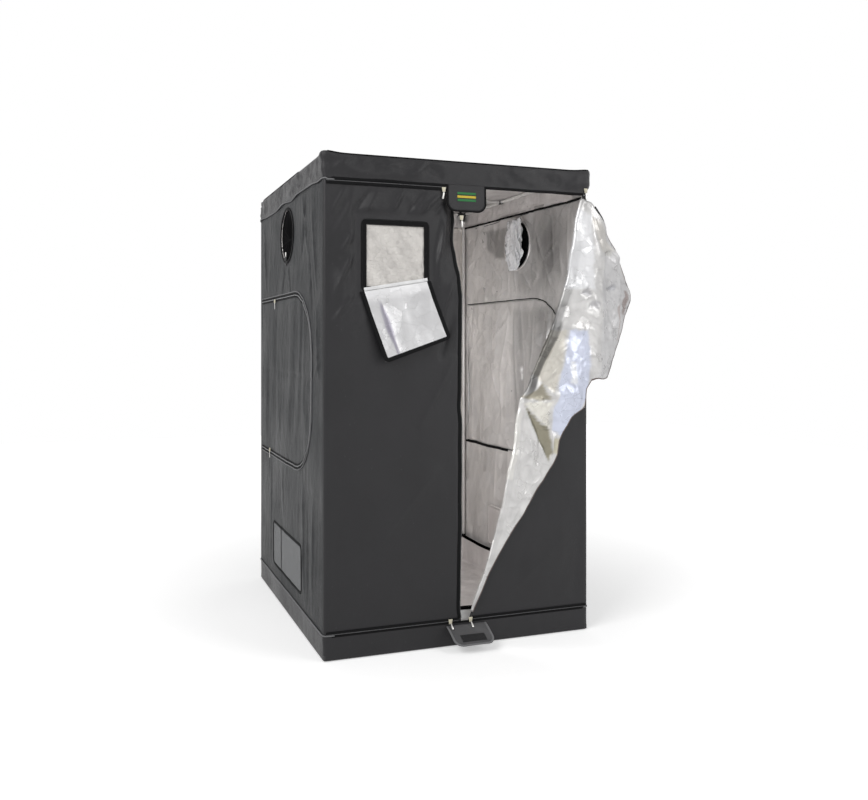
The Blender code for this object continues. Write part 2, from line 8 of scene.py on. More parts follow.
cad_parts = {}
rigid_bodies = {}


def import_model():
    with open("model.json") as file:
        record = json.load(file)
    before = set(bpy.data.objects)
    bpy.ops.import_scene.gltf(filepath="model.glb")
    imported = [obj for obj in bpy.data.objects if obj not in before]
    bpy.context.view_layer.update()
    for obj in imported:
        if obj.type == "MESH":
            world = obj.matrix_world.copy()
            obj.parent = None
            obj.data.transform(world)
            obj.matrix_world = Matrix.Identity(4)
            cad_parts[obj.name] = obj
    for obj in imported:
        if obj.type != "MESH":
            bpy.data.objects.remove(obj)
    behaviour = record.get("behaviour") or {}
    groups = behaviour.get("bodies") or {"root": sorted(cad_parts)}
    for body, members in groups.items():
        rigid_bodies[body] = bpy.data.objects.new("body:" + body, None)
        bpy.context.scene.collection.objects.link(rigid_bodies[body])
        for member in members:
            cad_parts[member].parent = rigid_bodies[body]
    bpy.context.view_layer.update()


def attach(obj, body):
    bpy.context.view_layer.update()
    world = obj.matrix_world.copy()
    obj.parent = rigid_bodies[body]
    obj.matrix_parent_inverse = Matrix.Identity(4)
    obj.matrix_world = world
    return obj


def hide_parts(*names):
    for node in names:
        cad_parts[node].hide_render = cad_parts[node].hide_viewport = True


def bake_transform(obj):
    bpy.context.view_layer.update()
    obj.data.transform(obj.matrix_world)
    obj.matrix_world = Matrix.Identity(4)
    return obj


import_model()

UP = Vector((0, 0, 1))

# The tent's own sizes
HALF = 0.6
SKIRT_BOTTOM = 1.893
TUB_TOP = 0.1
CLOTH = 0.0012
EDGE_TURN = 0.012
TRAY_HALF = 0.5745
TRAY_HEIGHT = 0.15

# The tubes: how far posts and rails are from the middle, how far a rail reaches, and the heights of the rails
POST = 0.5872
RAIL_END = 0.5754
TOP_RAIL = 1.9872
LOW_RAIL = 0.0128

# The zips along the door's top and bottom, and the plane that sliders hang on
TOP_ZIP = 1.8815
LOW_ZIP = 0.1085
SLIDER_OUT = 0.6003

# How far apart a cloth's points are: on walls, on the left door half and on small pieces
CELL = 0.0095
DOOR_CELL = 0.0075
FINE_CELL = 0.006

# How far apart stitches are
STITCH = 0.0042

# The words for the tent's sides, with their signs
SIDEWAYS = (("left", -1), ("right", 1))
DEPTHS = (("front", -1), ("back", 1))

# Openings in the side walls, as distances along the wall and heights
PORT_CENTRE = (0.0, 1.745)
PORT_RADIUS = 0.118
SIDE_DOOR = (-0.42, 0.7, 0.55, 1.465)
SIDE_DOOR_CORNER = 0.27
VENT = (-0.25, 0.168, 0.28, 0.365)

# The window in the left door half
WINDOW = (-0.445, 1.452, -0.151, 1.744)

# The folded right half
FOLD_START = Vector((0.0, 0.1003))
FOLD_END = Vector((0.6, 1.8927))
FOLD_HINGE_Y = -0.60135


# Cloth relief: how far the cloth stands out of its flat plane at a place on it
def smooth(value, low, high):
    """0 below low, 1 above high, and an even turn between them."""
    share = min(1, max(0, (value - low) / (high - low)))
    return share * share * (3 - 2 * share)


def ripple(a, b, count_a, count_b, seed):
    """A soft wave between -1 and 1, with about so many swells to the metre each way."""
    return noise.noise(Vector((a * count_a, b * count_b, seed)))


def ridges(value, sharpness=6):
    """Thin sharp ridges along the places where a wave crosses zero."""
    return (1 - min(1, abs(value))) ** sharpness


def slanted(a, b, slant, count_across, count_along, seed):
    """Folds that run along a slanted line."""
    cos, sin = math.cos(slant), math.sin(slant)
    return ripple(a * cos + b * sin, b * cos - a * sin, count_across, count_along, seed)


def crease(a, b, start, end, width, height):
    """One ridge, or valley, along a line, fading towards its ends."""
    run_a, run_b = end[0] - start[0], end[1] - start[1]
    length = math.hypot(run_a, run_b)
    along = ((a - start[0]) * run_a + (b - start[1]) * run_b) / (length * length)
    if not 0 < along < 1:
        return 0.0
    aside = ((a - start[0]) * run_b - (b - start[1]) * run_a) / length
    return height * math.exp(-abs(aside) / width) * math.sqrt(math.sin(math.pi * along))


def creases_at(table, a, b, wider=1.0, higher=1.0):
    """All the creases of a table together, at one place."""
    return sum(crease(a, b, start, end, wider * width, higher * height) for start, end, width, height in table)


def spot_at(a, b, middle_a, middle_b, reach_a, reach_b):
    """1 in the middle of a round spot, fading away from it."""
    return math.exp(-((a - middle_a) / reach_a) ** 2 - ((b - middle_b) / reach_b) ** 2)


def turned_edge(distance):
    """The cloth's quarter turn round a corner post, at a distance from the tent's upright edge."""
    if distance >= EDGE_TURN:
        return 0.0
    rest = EDGE_TURN - max(0, distance)
    return math.sqrt(EDGE_TURN * EDGE_TURN - rest * rest) - EDGE_TURN


def tucked(b):
    """Walls pass behind the skirt and behind the tub's rim."""
    return -0.0022 * (smooth(b, SKIRT_BOTTOM - 0.012, SKIRT_BOTTOM) + 1 - smooth(b, TUB_TOP, TUB_TOP + 0.01))


def held(distance):
    """Cloth is held flat where it lies on a post."""
    return smooth(distance, 0.012, 0.07)


# A table of creases has both ends of each, its width, and its height, which is below zero for a valley
DOOR_CREASES = [
    ((-0.53, 1.60), (-0.37, 1.86), 0.010, 0.006),
    ((-0.57, 1.42), (-0.46, 1.64), 0.009, 0.005),
    ((-0.49, 1.74), (-0.40, 1.87), 0.008, -0.005),
    ((-0.33, 1.75), (-0.26, 1.87), 0.009, 0.006),
    ((-0.27, 1.75), (-0.17, 1.87), 0.008, -0.005),
    ((-0.22, 1.75), (-0.10, 1.86), 0.008, 0.006),
    ((-0.15, 1.74), (-0.07, 1.84), 0.007, -0.004),
    ((-0.59, 1.72), (-0.50, 1.88), 0.008, 0.004),
    ((-0.14, 1.46), (-0.08, 1.74), 0.009, 0.004),
    ((-0.12, 1.30), (-0.05, 1.50), 0.009, 0.005),
    ((-0.10, 1.18), (-0.04, 1.36), 0.007, -0.004),
    ((-0.59, 1.30), (-0.47, 1.45), 0.010, 0.004),
    ((-0.20, 0.90), (-0.03, 1.20), 0.016, 0.004),
    ((-0.50, 0.30), (-0.10, 0.75), 0.030, 0.003),
]


def door_relief(a, b):
    upper = smooth(b, 1.15, 1.6)
    out = 0.010 * slanted(a, b, -0.45, 11, 2.4, 3.1) * upper
    out += 0.0045 * slanted(a, b, -0.6, 30, 6, 9.4) * upper
    out += 0.006 * ripple(a, b, 4, 1.6, 17.0)
    out += 0.0014 * ripple(a, b, 26, 18, 41.0) * (0.3 + 0.7 * upper)
    out += (0.0085 * upper * ridges(slanted(a, b, -0.5, 7, 3.0, 2.0), 4)
            + 0.0065 * upper * ridges(slanted(a, b, 0.5, 6, 4.0, 6.0), 4))
    out += creases_at(DOOR_CREASES, a, b, 1.25, 2.9)
    near_window = max(WINDOW[0] - 0.02 - a, a - WINDOW[2] - 0.02, WINDOW[1] - 0.02 - b, b - WINDOW[3] - 0.02)
    out *= smooth(near_window, 0, 0.03) * 0.96 + 0.04
    out *= held(HALF + a) * smooth(b, 0.1, 0.16) * (1 - 0.94 * smooth(b, 1.845, 1.88))
    roll = smooth(a, -0.095, -0.01) * smooth(b, 1.45, 1.84) * 0.07 + smooth(a, -0.03, 0.0) * 0.006
    roll += 0.004 * smooth(a, -0.06, 0.0) * ripple(a, b, 0, 9, 5.0)
    return out - roll + turned_edge(HALF + a) + tucked(b)


# The left half's free edge: heights, and how far it is from the tent's middle
DOOR_EDGE = [
    (0.09, -0.004), (0.154, -0.011), (0.30, -0.009), (0.55, -0.004), (0.92, -0.001), (0.99, -0.008), (1.06, -0.005),
    (1.27, -0.005), (1.42, -0.006), (1.50, -0.012), (1.60, -0.026), (1.66, -0.034), (1.72, -0.027), (1.76, -0.016),
    (1.90, -0.012),
]


def between(table, value):
    """The value of a table of (place, value) pairs at a place, turning smoothly from pair to pair."""
    for (low, start), (high, end) in zip(table, table[1:]):
        if value <= high:
            return start + (end - start) * smooth(value, low, high)
    return table[-1][1]


def lower_relief(a, b):
    out = 0.008 * ripple(a, b, 4, 3, 61.0) + 0.0012 * ripple(a, b, 20, 12, 23.0)
    out += crease(a, b, (0.18, 0.16), (0.56, 0.47), 0.03, 0.003)
    out *= held(HALF - a) * smooth(b, 0.1, 0.16)
    return out + turned_edge(HALF - a) + tucked(b)


def back_relief(a, b):
    out = 0.004 * ripple(a, b, 9, 1.3, 71.0) + 0.0015 * ripple(a, b, 30, 5, 29.0)
    out += crease(a, b, (-0.6, 1.1), (0.6, 1.1), 0.006, -0.003)
    out *= min(held(HALF - a), held(HALF + a)) * smooth(b, 0.1, 0.16)
    return out + turned_edge(HALF - a) + turned_edge(HALF + a) + tucked(b)


def inside_facet(corners, distance, out):
    """How far a place lies inside a facet, below zero where it is outside."""
    turn = 0
    sides = []
    for (a, b), (c, d) in zip(corners, corners[1:] + corners[:1]):
        turn += a * d - c * b
        length = math.hypot(c - a, d - b)
        sides.append(((c - a) * (out - b) - (d - b) * (distance - a)) / length)
    return min(sides) if turn > 0 else -max(sides)


# Painted light on the right wall's lining, where it faces dark or bright surroundings: middle, reach both ways, and the
# change in tone
WALL_PAINTED_LIGHT = [
    (0.42, 1.55, 0.12, 0.28, 0.16), (-0.30, 1.68, 0.19, 0.25, -0.60), (-0.07, 1.56, 0.10, 0.09, -0.18),
    (-0.30, 1.22, 0.16, 0.24, -0.30), (0.28, 0.35, 0.28, 0.22, 0.12), (0.20, 1.0, 0.08, 0.3, 0.10),
]

# The corners of the shaded cloth beside the right wall's port
PORT_SHADOW = [(0.361, 1.866), (0.09, 1.856), (0.09, 1.678), (0.215, 1.695), (0.331, 1.749)]


def wall_tone_and_painted_light(a, b):
    # Random tone, with thin lighter lines that are painted highlights
    tone_with_painted_light = 1 + 0.08 * ripple(a + 0.2 * b, b, 8, 3, 5.5) + 0.10 * ridges(ripple(a + 0.15 * b, b, 13, 6, 2.2), 6)
    # Painted shade: the wall is darker towards the front below the side door's top
    tone_with_painted_light -= 0.27 * smooth(0.045 + 0.012 * ripple(0, b, 0, 6, 4.0) - a, 0.0, 0.016) * smooth(1.44 - b, 0.0, 0.05)
    tone_with_painted_light -= 0.48 * smooth(inside_facet(PORT_SHADOW, a, b) + 0.01 * ripple(a, b, 20, 20, 3.0), -0.004, 0.02)
    for *spot, change in WALL_PAINTED_LIGHT:
        tone_with_painted_light += change * spot_at(a, b, *spot)
    # Painted highlight on one side of each crease and painted shade on the other
    for start, end, _, _ in RIGHT_CREASES:
        tone_with_painted_light += crease(a + 0.004, b, start, end, 0.007, 0.30) - crease(a - 0.008, b, start, end, 0.008, 0.24)
    tone_with_painted_light = max(0.2, tone_with_painted_light)
    return tone_with_painted_light, tone_with_painted_light * 0.995, tone_with_painted_light * 0.99


# Painted light: the back wall's lining is lighter and warmer towards its right end
def back_painted_light(a, b):
    tone_with_painted_light = 1 + 0.18 * smooth(a, 0.3, 0.5)
    return tone_with_painted_light, tone_with_painted_light * 0.97, tone_with_painted_light * 0.93


LEFT_CREASES = [
    ((-0.02, 1.60), (-0.06, 1.47), 0.006, 0.005),
    ((0.03, 1.61), (0.10, 1.46), 0.006, -0.005),
    ((-0.59, 1.20), (-0.43, 1.08), 0.006, 0.005),
    ((-0.44, 1.80), (-0.50, 1.45), 0.014, 0.007),
    ((-0.34, 1.86), (-0.26, 1.60), 0.012, -0.006),
    ((-0.50, 1.40), (-0.53, 1.10), 0.012, 0.006),
    ((-0.28, 1.88), (-0.37, 1.62), 0.010, 0.006),
    ((-0.40, 1.62), (-0.44, 1.32), 0.008, -0.005),
    ((0.50, 1.86), (0.44, 1.50), 0.012, 0.006),
    ((-0.28, 0.66), (-0.30, 0.17), 0.012, 0.007),
    ((-0.36, 0.60), (-0.37, 0.14), 0.009, -0.005),
    ((-0.45, 0.60), (-0.43, 0.12), 0.012, 0.006),
    ((0.10, 0.68), (0.06, 0.40), 0.012, 0.005),
    ((0.33, 0.66), (0.34, 0.16), 0.010, -0.006),
]
# These are seen from inside, so a negative height stands out into the tent
RIGHT_CREASES = [
    ((0.44, 1.85), (0.305, 1.716), 0.006, -0.007), ((0.305, 1.716), (0.169, 1.68), 0.006, -0.006),
    ((0.305, 1.694), (0.169, 1.586), 0.007, -0.007), ((0.096, 1.631), (0.082, 1.50), 0.007, -0.008),
    ((0.026, 1.618), (-0.001, 1.50), 0.006, -0.007), ((-0.055, 1.604), (-0.121, 1.531), 0.006, -0.007),
    ((-0.134, 1.617), (-0.197, 1.579), 0.005, -0.006), ((-0.197, 1.579), (-0.134, 1.53), 0.005, -0.006),
    ((-0.184, 1.79), (-0.246, 1.647), 0.008, -0.010), ((-0.246, 1.647), (-0.329, 1.491), 0.008, -0.009),
    ((-0.363, 1.724), (-0.246, 1.647), 0.007, -0.007), ((-0.375, 1.70), (-0.409, 1.562), 0.007, -0.006),
    ((-0.30, 1.87), (-0.33, 1.60), 0.016, 0.010), ((-0.44, 1.86), (-0.47, 1.45), 0.012, -0.008),
    ((0.536, 1.183), (0.321, 1.336), 0.007, -0.006), ((0.29, 1.239), (0.082, 1.388), 0.006, -0.006),
    ((0.274, 1.446), (0.274, 1.039), 0.009, 0.007), ((-0.035, 1.43), (-0.045, 0.93), 0.018, 0.014),
    ((0.02, 1.42), (0.01, 0.95), 0.012, -0.008), ((0.082, 1.403), (0.198, 1.042), 0.008, -0.006),
    ((0.29, 1.165), (0.183, 0.927), 0.008, -0.006), ((-0.159, 1.394), (-0.134, 1.125), 0.014, 0.009),
    ((0.18, 1.10), (0.16, 0.76), 0.009, -0.007), ((0.40, 1.05), (0.44, 0.78), 0.012, 0.006),
    ((0.10, 0.70), (0.14, 0.42), 0.010, 0.009), ((0.22, 0.69), (0.25, 0.36), 0.008, -0.006),
    ((0.03, 0.66), (0.12, 0.74), 0.005, -0.004), ((0.24, 0.30), (0.30, 0.17), 0.010, -0.008),
]


def side_relief(a, b, creases=LEFT_CREASES):
    """The left wall is taut, and the right one, which is seen from inside, hangs in deeper folds."""
    depth = 0.36 if creases is LEFT_CREASES else 1.7
    sharp = 0.6 * depth + 0.4
    out = depth * 0.007 * ripple(a + 0.06 * b, b, 9, 1.3, 3.7)
    out += depth * 0.0028 * ripple(a + 0.1 * b, b, 31, 3.0, 7.9)
    patchy = smooth(ripple(a, b, 5, 4, 8.8), -0.3, 0.5)
    out += sharp * 0.0024 * patchy * ridges(ripple(a - 0.1 * b, b, 14, 4.5, 5.5))
    out += sharp * 0.0020 * (1 - patchy) * ridges(ripple(a + 0.25 * b, b, 17, 7, 1.5))
    out += 0.0010 * ripple(a, b, 60, 30, 12.2)
    out += crease(a, b, (-0.6, 1.097), (0.6, 1.118), 0.005, -0.004)
    out += creases_at(creases, a, b)
    out *= min(held(HALF - a), held(HALF + a)) * smooth(b, 0.1, 0.14)
    out *= 0.25 + 0.75 * smooth(math.hypot(a - PORT_CENTRE[0], b - PORT_CENTRE[1]), PORT_RADIUS, PORT_RADIUS + 0.05)
    return out + tucked(b)


def right_relief(a, b):
    return side_relief(a, b, RIGHT_CREASES)


def side_door_relief(a, b, creases=LEFT_CREASES):
    out = side_relief(a, b, creases)
    pleats = 0.0035 * math.sin((a + 0.12 * (b - 0.7)) * 40 + 5 * ripple(a, b, 6, 1.2, 2.0))
    return out + pleats * smooth(1.49 - b, 0.01, 0.15) * smooth(b, 0.72, 1.0) * (0.6 + ripple(a, b, 5, 2, 8.0))


def right_door_relief(a, b):
    return side_door_relief(a, b, RIGHT_CREASES)


class Panel:
    """One side of the tent: a runs along it, b is the height, and out is the distance beyond its flat plane."""

    def __init__(self, across, outward, relief):
        self.across = Vector(across)
        self.outward = Vector(outward)
        self.relief = relief

    def flat(self, a, b, out=0.0):
        return self.across * a + UP * b + self.outward * (HALF + out)

    def on(self, a, b, out=0.0):
        return self.flat(a, b, self.relief(a, b) + out)


DOOR = Panel((1, 0, 0), (0, -1, 0), door_relief)
LOWER = Panel((1, 0, 0), (0, -1, 0), lower_relief)
BACK = Panel((1, 0, 0), (0, 1, 0), back_relief)
SIDES = {
    "left": Panel((0, 1, 0), (-1, 0, 0), side_relief),
    "right": Panel((0, 1, 0), (1, 0, 0), right_relief),
}
SIDE_DOORS = {
    "left": Panel((0, 1, 0), (-1, 0, 0), side_door_relief),
    "right": Panel((0, 1, 0), (1, 0, 0), right_door_relief),
}


# Outlines of the holes, as a distance that is below zero inside the hole
def round_hole(centre, radius):
    return lambda a, b: math.hypot(a - centre[0], b - centre[1]) - radius


def box_hole(box, front_radius, back_radius):
    """A box whose two front corners have one radius and whose two back corners have another."""
    left, bottom, right, top = box

    def distance(a, b):
        radius = front_radius if a < (left + right) / 2 else back_radius
        beyond_a = abs(a - (left + right) / 2) - (right - left) / 2 + radius
        beyond_b = abs(b - (bottom + top) / 2) - (top - bottom) / 2 + radius
        outside = math.hypot(max(0, beyond_a), max(0, beyond_b))
        return outside + min(0, max(beyond_a, beyond_b)) - radius

    return distance


def outside_of(hole):
    return lambda a, b: -hole(a, b)


def inset_box(box, inset):
    """A box made smaller all round."""
    left, bottom, right, top = box
    return left + inset, bottom + inset, right - inset, top - inset


def settle(a, b, holes, reach):
    """A grid point near an outline moves onto it, so that the cut cloth has a clean edge."""
    step = 0.0001
    for hole in holes:
        distance = hole(a, b)
        if abs(distance) < reach:
            slope_a = (hole(a + step, b) - distance) / step
            slope_b = (hole(a, b + step) - distance) / step
            a -= distance * slope_a
            b -= distance * slope_b
    return a, b


def stops(start, end, cell, turn_start=False, turn_end=False):
    """Even stops from start to end, with close stops where the cloth turns round a post."""
    turn = [EDGE_TURN * (1 - math.cos(math.pi / 2 * step / 5)) for step in range(5)]
    low = start + (EDGE_TURN if turn_start else 0)
    high = end - (EDGE_TURN if turn_end else 0)
    count = max(1, round((high - low) / cell))
    middle = [low + (high - low) * step / count for step in range(count + 1)]
    before = [start + distance for distance in turn] if turn_start else []
    after = [end - distance for distance in reversed(turn)] if turn_end else []
    return before + middle + after


# Making pieces
def to_object(name, bm):
    mesh = bpy.data.meshes.new(name)
    bm.to_mesh(mesh)
    bm.free()
    mesh.shade_smooth()
    made = bpy.data.objects.new(name, mesh)
    bpy.context.scene.collection.objects.link(made)
    return made


def bend_at_fold(piece):
    """The folded half's pieces get no body: their place is baked into their meshes."""
    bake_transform(piece)


def give(piece, body, slot, *finishes):
    for finish in finishes:
        piece.data.materials.append(finish)
    if body == "right_door":
        bend_at_fold(piece)
    else:
        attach(piece, body)
    return piece


def line_with(piece, lined=True):
    """The sheet gets its thickness inwards, and its second finish on the inside."""
    thicken = piece.modifiers.new("thickness", "SOLIDIFY")
    thicken.thickness = CLOTH
    thicken.offset = -1
    if lined:
        thicken.material_offset = 1
    return piece


def new_cloth():
    """An empty mesh, with the layer of its flat map and the layer of its painted light and shade."""
    bm = bmesh.new()
    return bm, bm.loops.layers.uv.new("cloth"), bm.verts.layers.float_color.new("painted_light")


def join_rows(bm, flat_map, grid, holes=()):
    """Faces between rows of (vertex, flat place) pairs, but none where a hole is."""
    for low, high in zip(grid, grid[1:]):
        for index in range(len(low) - 1):
            corners = [low[index], low[index + 1], high[index + 1], high[index]]
            middle = [sum(spot[k] for _, spot in corners) / 4 for k in (0, 1)]
            if any(hole(*middle) < 0 for hole in holes):
                continue
            face = bm.faces.new([vert for vert, _ in corners])
            for loop, (_, spot) in zip(face.loops, corners):
                loop[flat_map].uv = spot


def face_outward(bm, outward):
    """Turns a sheet's faces over if they look inwards on the whole."""
    bm.normal_update()
    total = Vector()
    for face in bm.faces:
        total += face.normal * face.calc_area()
    if total.dot(outward) < 0:
        bmesh.ops.reverse_faces(bm, faces=bm.faces)


def cloth_panel(name, panel, columns, rows, holes=(), shift=None, reach=CELL * 0.45, tone_with_painted_light=None):
    """A sheet over a grid of places on a panel, without the cells that lie in its holes."""
    bm, flat_map, painted_light_layer = new_cloth()
    grid = []
    for b in rows:
        line = []
        for a in columns:
            spot = settle(a, b, holes, reach)
            if shift:
                spot = shift(*spot)
            vert = bm.verts.new(panel.on(*spot))
            # Each point keeps the painted light and shade of the given function
            vert[painted_light_layer] = (*(tone_with_painted_light(*spot) if tone_with_painted_light else (1, 1, 1)), 1)
            line.append((vert, spot))
        grid.append(line)
    join_rows(bm, flat_map, grid, holes)
    bmesh.ops.delete(bm, geom=[vert for vert in bm.verts if not vert.link_faces], context="VERTS")
    face_outward(bm, panel.outward)
    return line_with(to_object(name, bm))


def spread_out(path, step, closed=False):
    """The same path with even points along it."""
    points = [Vector(point) for point in path]
    if closed:
        points.append(points[0])
    lengths = [0.0]
    for here, there in zip(points, points[1:]):
        lengths.append(lengths[-1] + (there - here).length)
    count = max(2, round(lengths[-1] / step))
    even = []
    index = 0
    for number in range(count if closed else count + 1):
        target = lengths[-1] * number / count
        while index < len(lengths) - 2 and lengths[index + 1] < target:
            index += 1
        share = (target - lengths[index]) / max(lengths[index + 1] - lengths[index], 1e-9)
        even.append(points[index].lerp(points[index + 1], min(1, share)))
    return even


def strip(name, place, path, section, closed=False, step=0.009):
    """A tape or piping along a path of (a, b) points. Its section is a ring of (sideways, outward) pairs."""
    points = spread_out(path, step, closed)
    bm = bmesh.new()
    length_map = bm.loops.layers.uv.new("cloth")
    rings = []
    count = len(points)
    for index, point in enumerate(points):
        if closed:
            ahead, behind = points[(index + 1) % count], points[index - 1]
        else:
            ahead, behind = points[min(index + 1, count - 1)], points[max(index - 1, 0)]
        run = (ahead - behind).normalized()
        aside = Vector((run.y, -run.x))
        ring = []
        for sideways, out in section:
            spot = point + aside * sideways
            ring.append(bm.verts.new(place(spot.x, spot.y, out)))
        rings.append(ring)
    pairs = list(zip(rings, rings[1:]))
    if closed:
        pairs.append((rings[-1], rings[0]))
    sides = len(section)
    for number, (low, high) in enumerate(pairs):
        for side in range(sides):
            after = (side + 1) % sides
            face = bm.faces.new((low[side], low[after], high[after], high[side]))
            marks = ((number, side), (number, side + 1), (number + 1, side + 1), (number + 1, side))
            for loop, (along, around) in zip(face.loops, marks):
                loop[length_map].uv = (along * step, around / sides)
    if not closed:
        bm.faces.new(rings[0])
        bm.faces.new(list(reversed(rings[-1])))
    bmesh.ops.recalc_face_normals(bm, faces=bm.faces)
    return to_object(name, bm)


def tape_section(width, low, high):
    """A flat tape with softened edges, from low to high above the cloth."""
    half = width / 2
    soft = min(half, (high - low) * 0.6)
    return [
        (-half, low), (-half, high - soft * 0.4), (-half + soft, high), (0, high), (half - soft, high),
        (half, high - soft * 0.4), (half, low), (0, low),
    ]


def bead_section(radius, middle, sides=8):
    turns = [math.tau * side / sides for side in range(sides)]
    return [(radius * math.cos(turn), middle + radius * math.sin(turn)) for turn in turns]


def box_outline(box, radius, steps=6):
    """A closed path round a box with round corners."""
    left, bottom, right, top = box
    centres = [
        (right - radius, top - radius, 0), (left + radius, top - radius, 1),
        (left + radius, bottom + radius, 2), (right - radius, bottom + radius, 3),
    ]
    path = []
    for a, b, quarter in centres:
        for step in range(steps + 1):
            turn = math.pi / 2 * (quarter + step / steps)
            path.append((a + radius * math.cos(turn), b + radius * math.sin(turn)))
    return path


def side_door_path(inset, steps=9):
    """The D of the side door's zip, from its hinge at the top round the front to its hinge at the bottom."""
    left, bottom, right, top = SIDE_DOOR
    left, bottom, top = left + inset, bottom + inset, top - inset
    radius = SIDE_DOOR_CORNER - inset
    path = [(right, top)]
    for quarter, b in ((1, top - radius), (2, bottom + radius)):
        for step in range(steps + 1):
            turn = math.pi / 2 * (quarter + step / steps)
            path.append((left + radius + radius * math.cos(turn), b + radius * math.sin(turn)))
    path.append((right, bottom))
    return path


# Finishes
class Nodes:
    """Adds nodes to a tree and joins them up in the same step."""

    def __init__(self, tree):
        self.tree = tree

    def add(self, kind, inputs=(), **settings):
        made = self.tree.nodes.new("ShaderNode" + kind)
        for name, value in settings.items():
            setattr(made, name, value)
        for place, value in dict(inputs).items():
            if isinstance(value, bpy.types.NodeSocket):
                self.tree.links.new(value, made.inputs[place])
            else:
                made.inputs[place].default_value = value
        return made

    def math(self, operation, *values):
        return self.add("Math", enumerate(values), operation=operation).outputs[0]

    def vector(self, operation, *values):
        return self.add("VectorMath", enumerate(values), operation=operation).outputs

    def noise(self, place, scale, detail=2.0):
        return self.add("TexNoise", {"Vector": place, "Scale": scale, "Detail": detail}).outputs["Fac"]

    def remap(self, value, low, high, to_low, to_high):
        settings = {"Value": value, "From Min": low, "From Max": high, "To Min": to_low, "To Max": to_high}
        return self.add("MapRange", settings).outputs["Result"]


def new_group(name, inputs, outputs):
    """An empty effect: its tree, its input sockets and its output node."""
    tree = bpy.data.node_groups.new(name, "ShaderNodeTree")
    for label, kind in inputs.items():
        tree.interface.new_socket(label, in_out="INPUT", socket_type=kind)
    for label in outputs:
        tree.interface.new_socket(label, in_out="OUTPUT", socket_type="NodeSocketFloat")
    return tree, tree.nodes.new("NodeGroupInput").outputs, tree.nodes.new("NodeGroupOutput").inputs


def crumple_effect():
    """Foil that has been folded small: flat facets that each tilt their own way, with fine ones inside them, and a
    brightness for each facet that is painted reflection.
    """
    inputs = {"Place": "NodeSocketVector", "Facets": "NodeSocketFloat"}
    tree, given, result = new_group("crumple", inputs, ["Height", "Painted facet light"])
    nodes = Nodes(tree)
    heights, tones = [], []
    for finer, share in ((1.0, 1.0), (2.7, 0.3)):
        size = nodes.math("MULTIPLY", given["Facets"], finer)
        place = nodes.vector("SCALE", given["Place"])
        tree.links.new(size, place[0].node.inputs["Scale"])
        warp = nodes.add("TexNoise", {"Vector": place["Vector"], "Scale": 0.6, "Detail": 0.0}).outputs["Color"]
        shift = nodes.add("VectorMath", {0: warp}, operation="SCALE")
        shift.inputs["Scale"].default_value = 0.5
        spot = nodes.vector("ADD", place["Vector"], shift.outputs[0])["Vector"]
        cells = nodes.add("TexVoronoi", {"Vector": spot, "Scale": 1.0}).outputs
        tilt = nodes.vector("SUBTRACT", cells["Color"], (0.5, 0.5, 0.5))["Vector"]
        away = nodes.vector("SUBTRACT", spot, cells["Position"])["Vector"]
        height = nodes.vector("DOT_PRODUCT", tilt, away)["Value"]
        heights.append(nodes.math("MULTIPLY", nodes.math("DIVIDE", height, size), share))
        # Each facet's random brightness is painted reflection, standing in for the light its tilt would catch
        tones.append(nodes.add("SeparateColor", {0: cells["Color"]}).outputs[0])
    tree.links.new(nodes.math("ADD", *heights), result["Height"])
    tone_with_painted_light = nodes.math("ADD", nodes.math("MULTIPLY", tones[0], 0.65), nodes.math("MULTIPLY", tones[1], 0.35))
    tree.links.new(tone_with_painted_light, result["Painted facet light"])
    return tree


def weave_effect():
    """Woven cloth: threads over and under one another, Pitch metres apart, with uneven yarn."""
    inputs = {"Place": "NodeSocketVector", "Pitch": "NodeSocketFloat"}
    tree, given, result = new_group("weave", inputs, ["Height", "Yarn"])
    nodes = Nodes(tree)
    axes = nodes.add("SeparateXYZ", {0: given["Place"]}).outputs
    turn = nodes.math("DIVIDE", math.pi, given["Pitch"])
    flat = nodes.math("ADD", axes[0], axes[1])
    across = nodes.math("SINE", nodes.math("MULTIPLY", flat, turn))
    upward = nodes.math("SINE", nodes.math("MULTIPLY", axes[2], turn))
    height = nodes.math("MULTIPLY", nodes.math("MULTIPLY", across, upward), given["Pitch"])
    tree.links.new(nodes.math("MULTIPLY", height, 0.25), result["Height"])
    tree.links.new(nodes.noise(given["Place"], 420.0, 1.0), result["Yarn"])
    return tree


def wear_effect():
    """Dust and lint that settle on cloth, and soft stains where it has been handled."""
    tree, given, result = new_group("wear", {"Place": "NodeSocketVector"}, ["Lint", "Dust"])
    nodes = Nodes(tree)
    specks = nodes.add("TexVoronoi", {"Vector": given["Place"], "Scale": 55.0}).outputs
    chance = nodes.add("SeparateColor", {0: specks["Color"]}).outputs[0]
    small = nodes.remap(specks["Distance"], 0.05, 0.09, 1.0, 0.0)
    tree.links.new(nodes.math("MULTIPLY", small, nodes.math("GREATER_THAN", chance, 0.86)), result["Lint"])
    tree.links.new(nodes.remap(nodes.noise(given["Place"], 4.0, 5.0), 0.35, 0.75, 0.0, 1.0), result["Dust"])
    return tree


CRUMPLE = crumple_effect()
WEAVE = weave_effect()
WEAR = wear_effect()


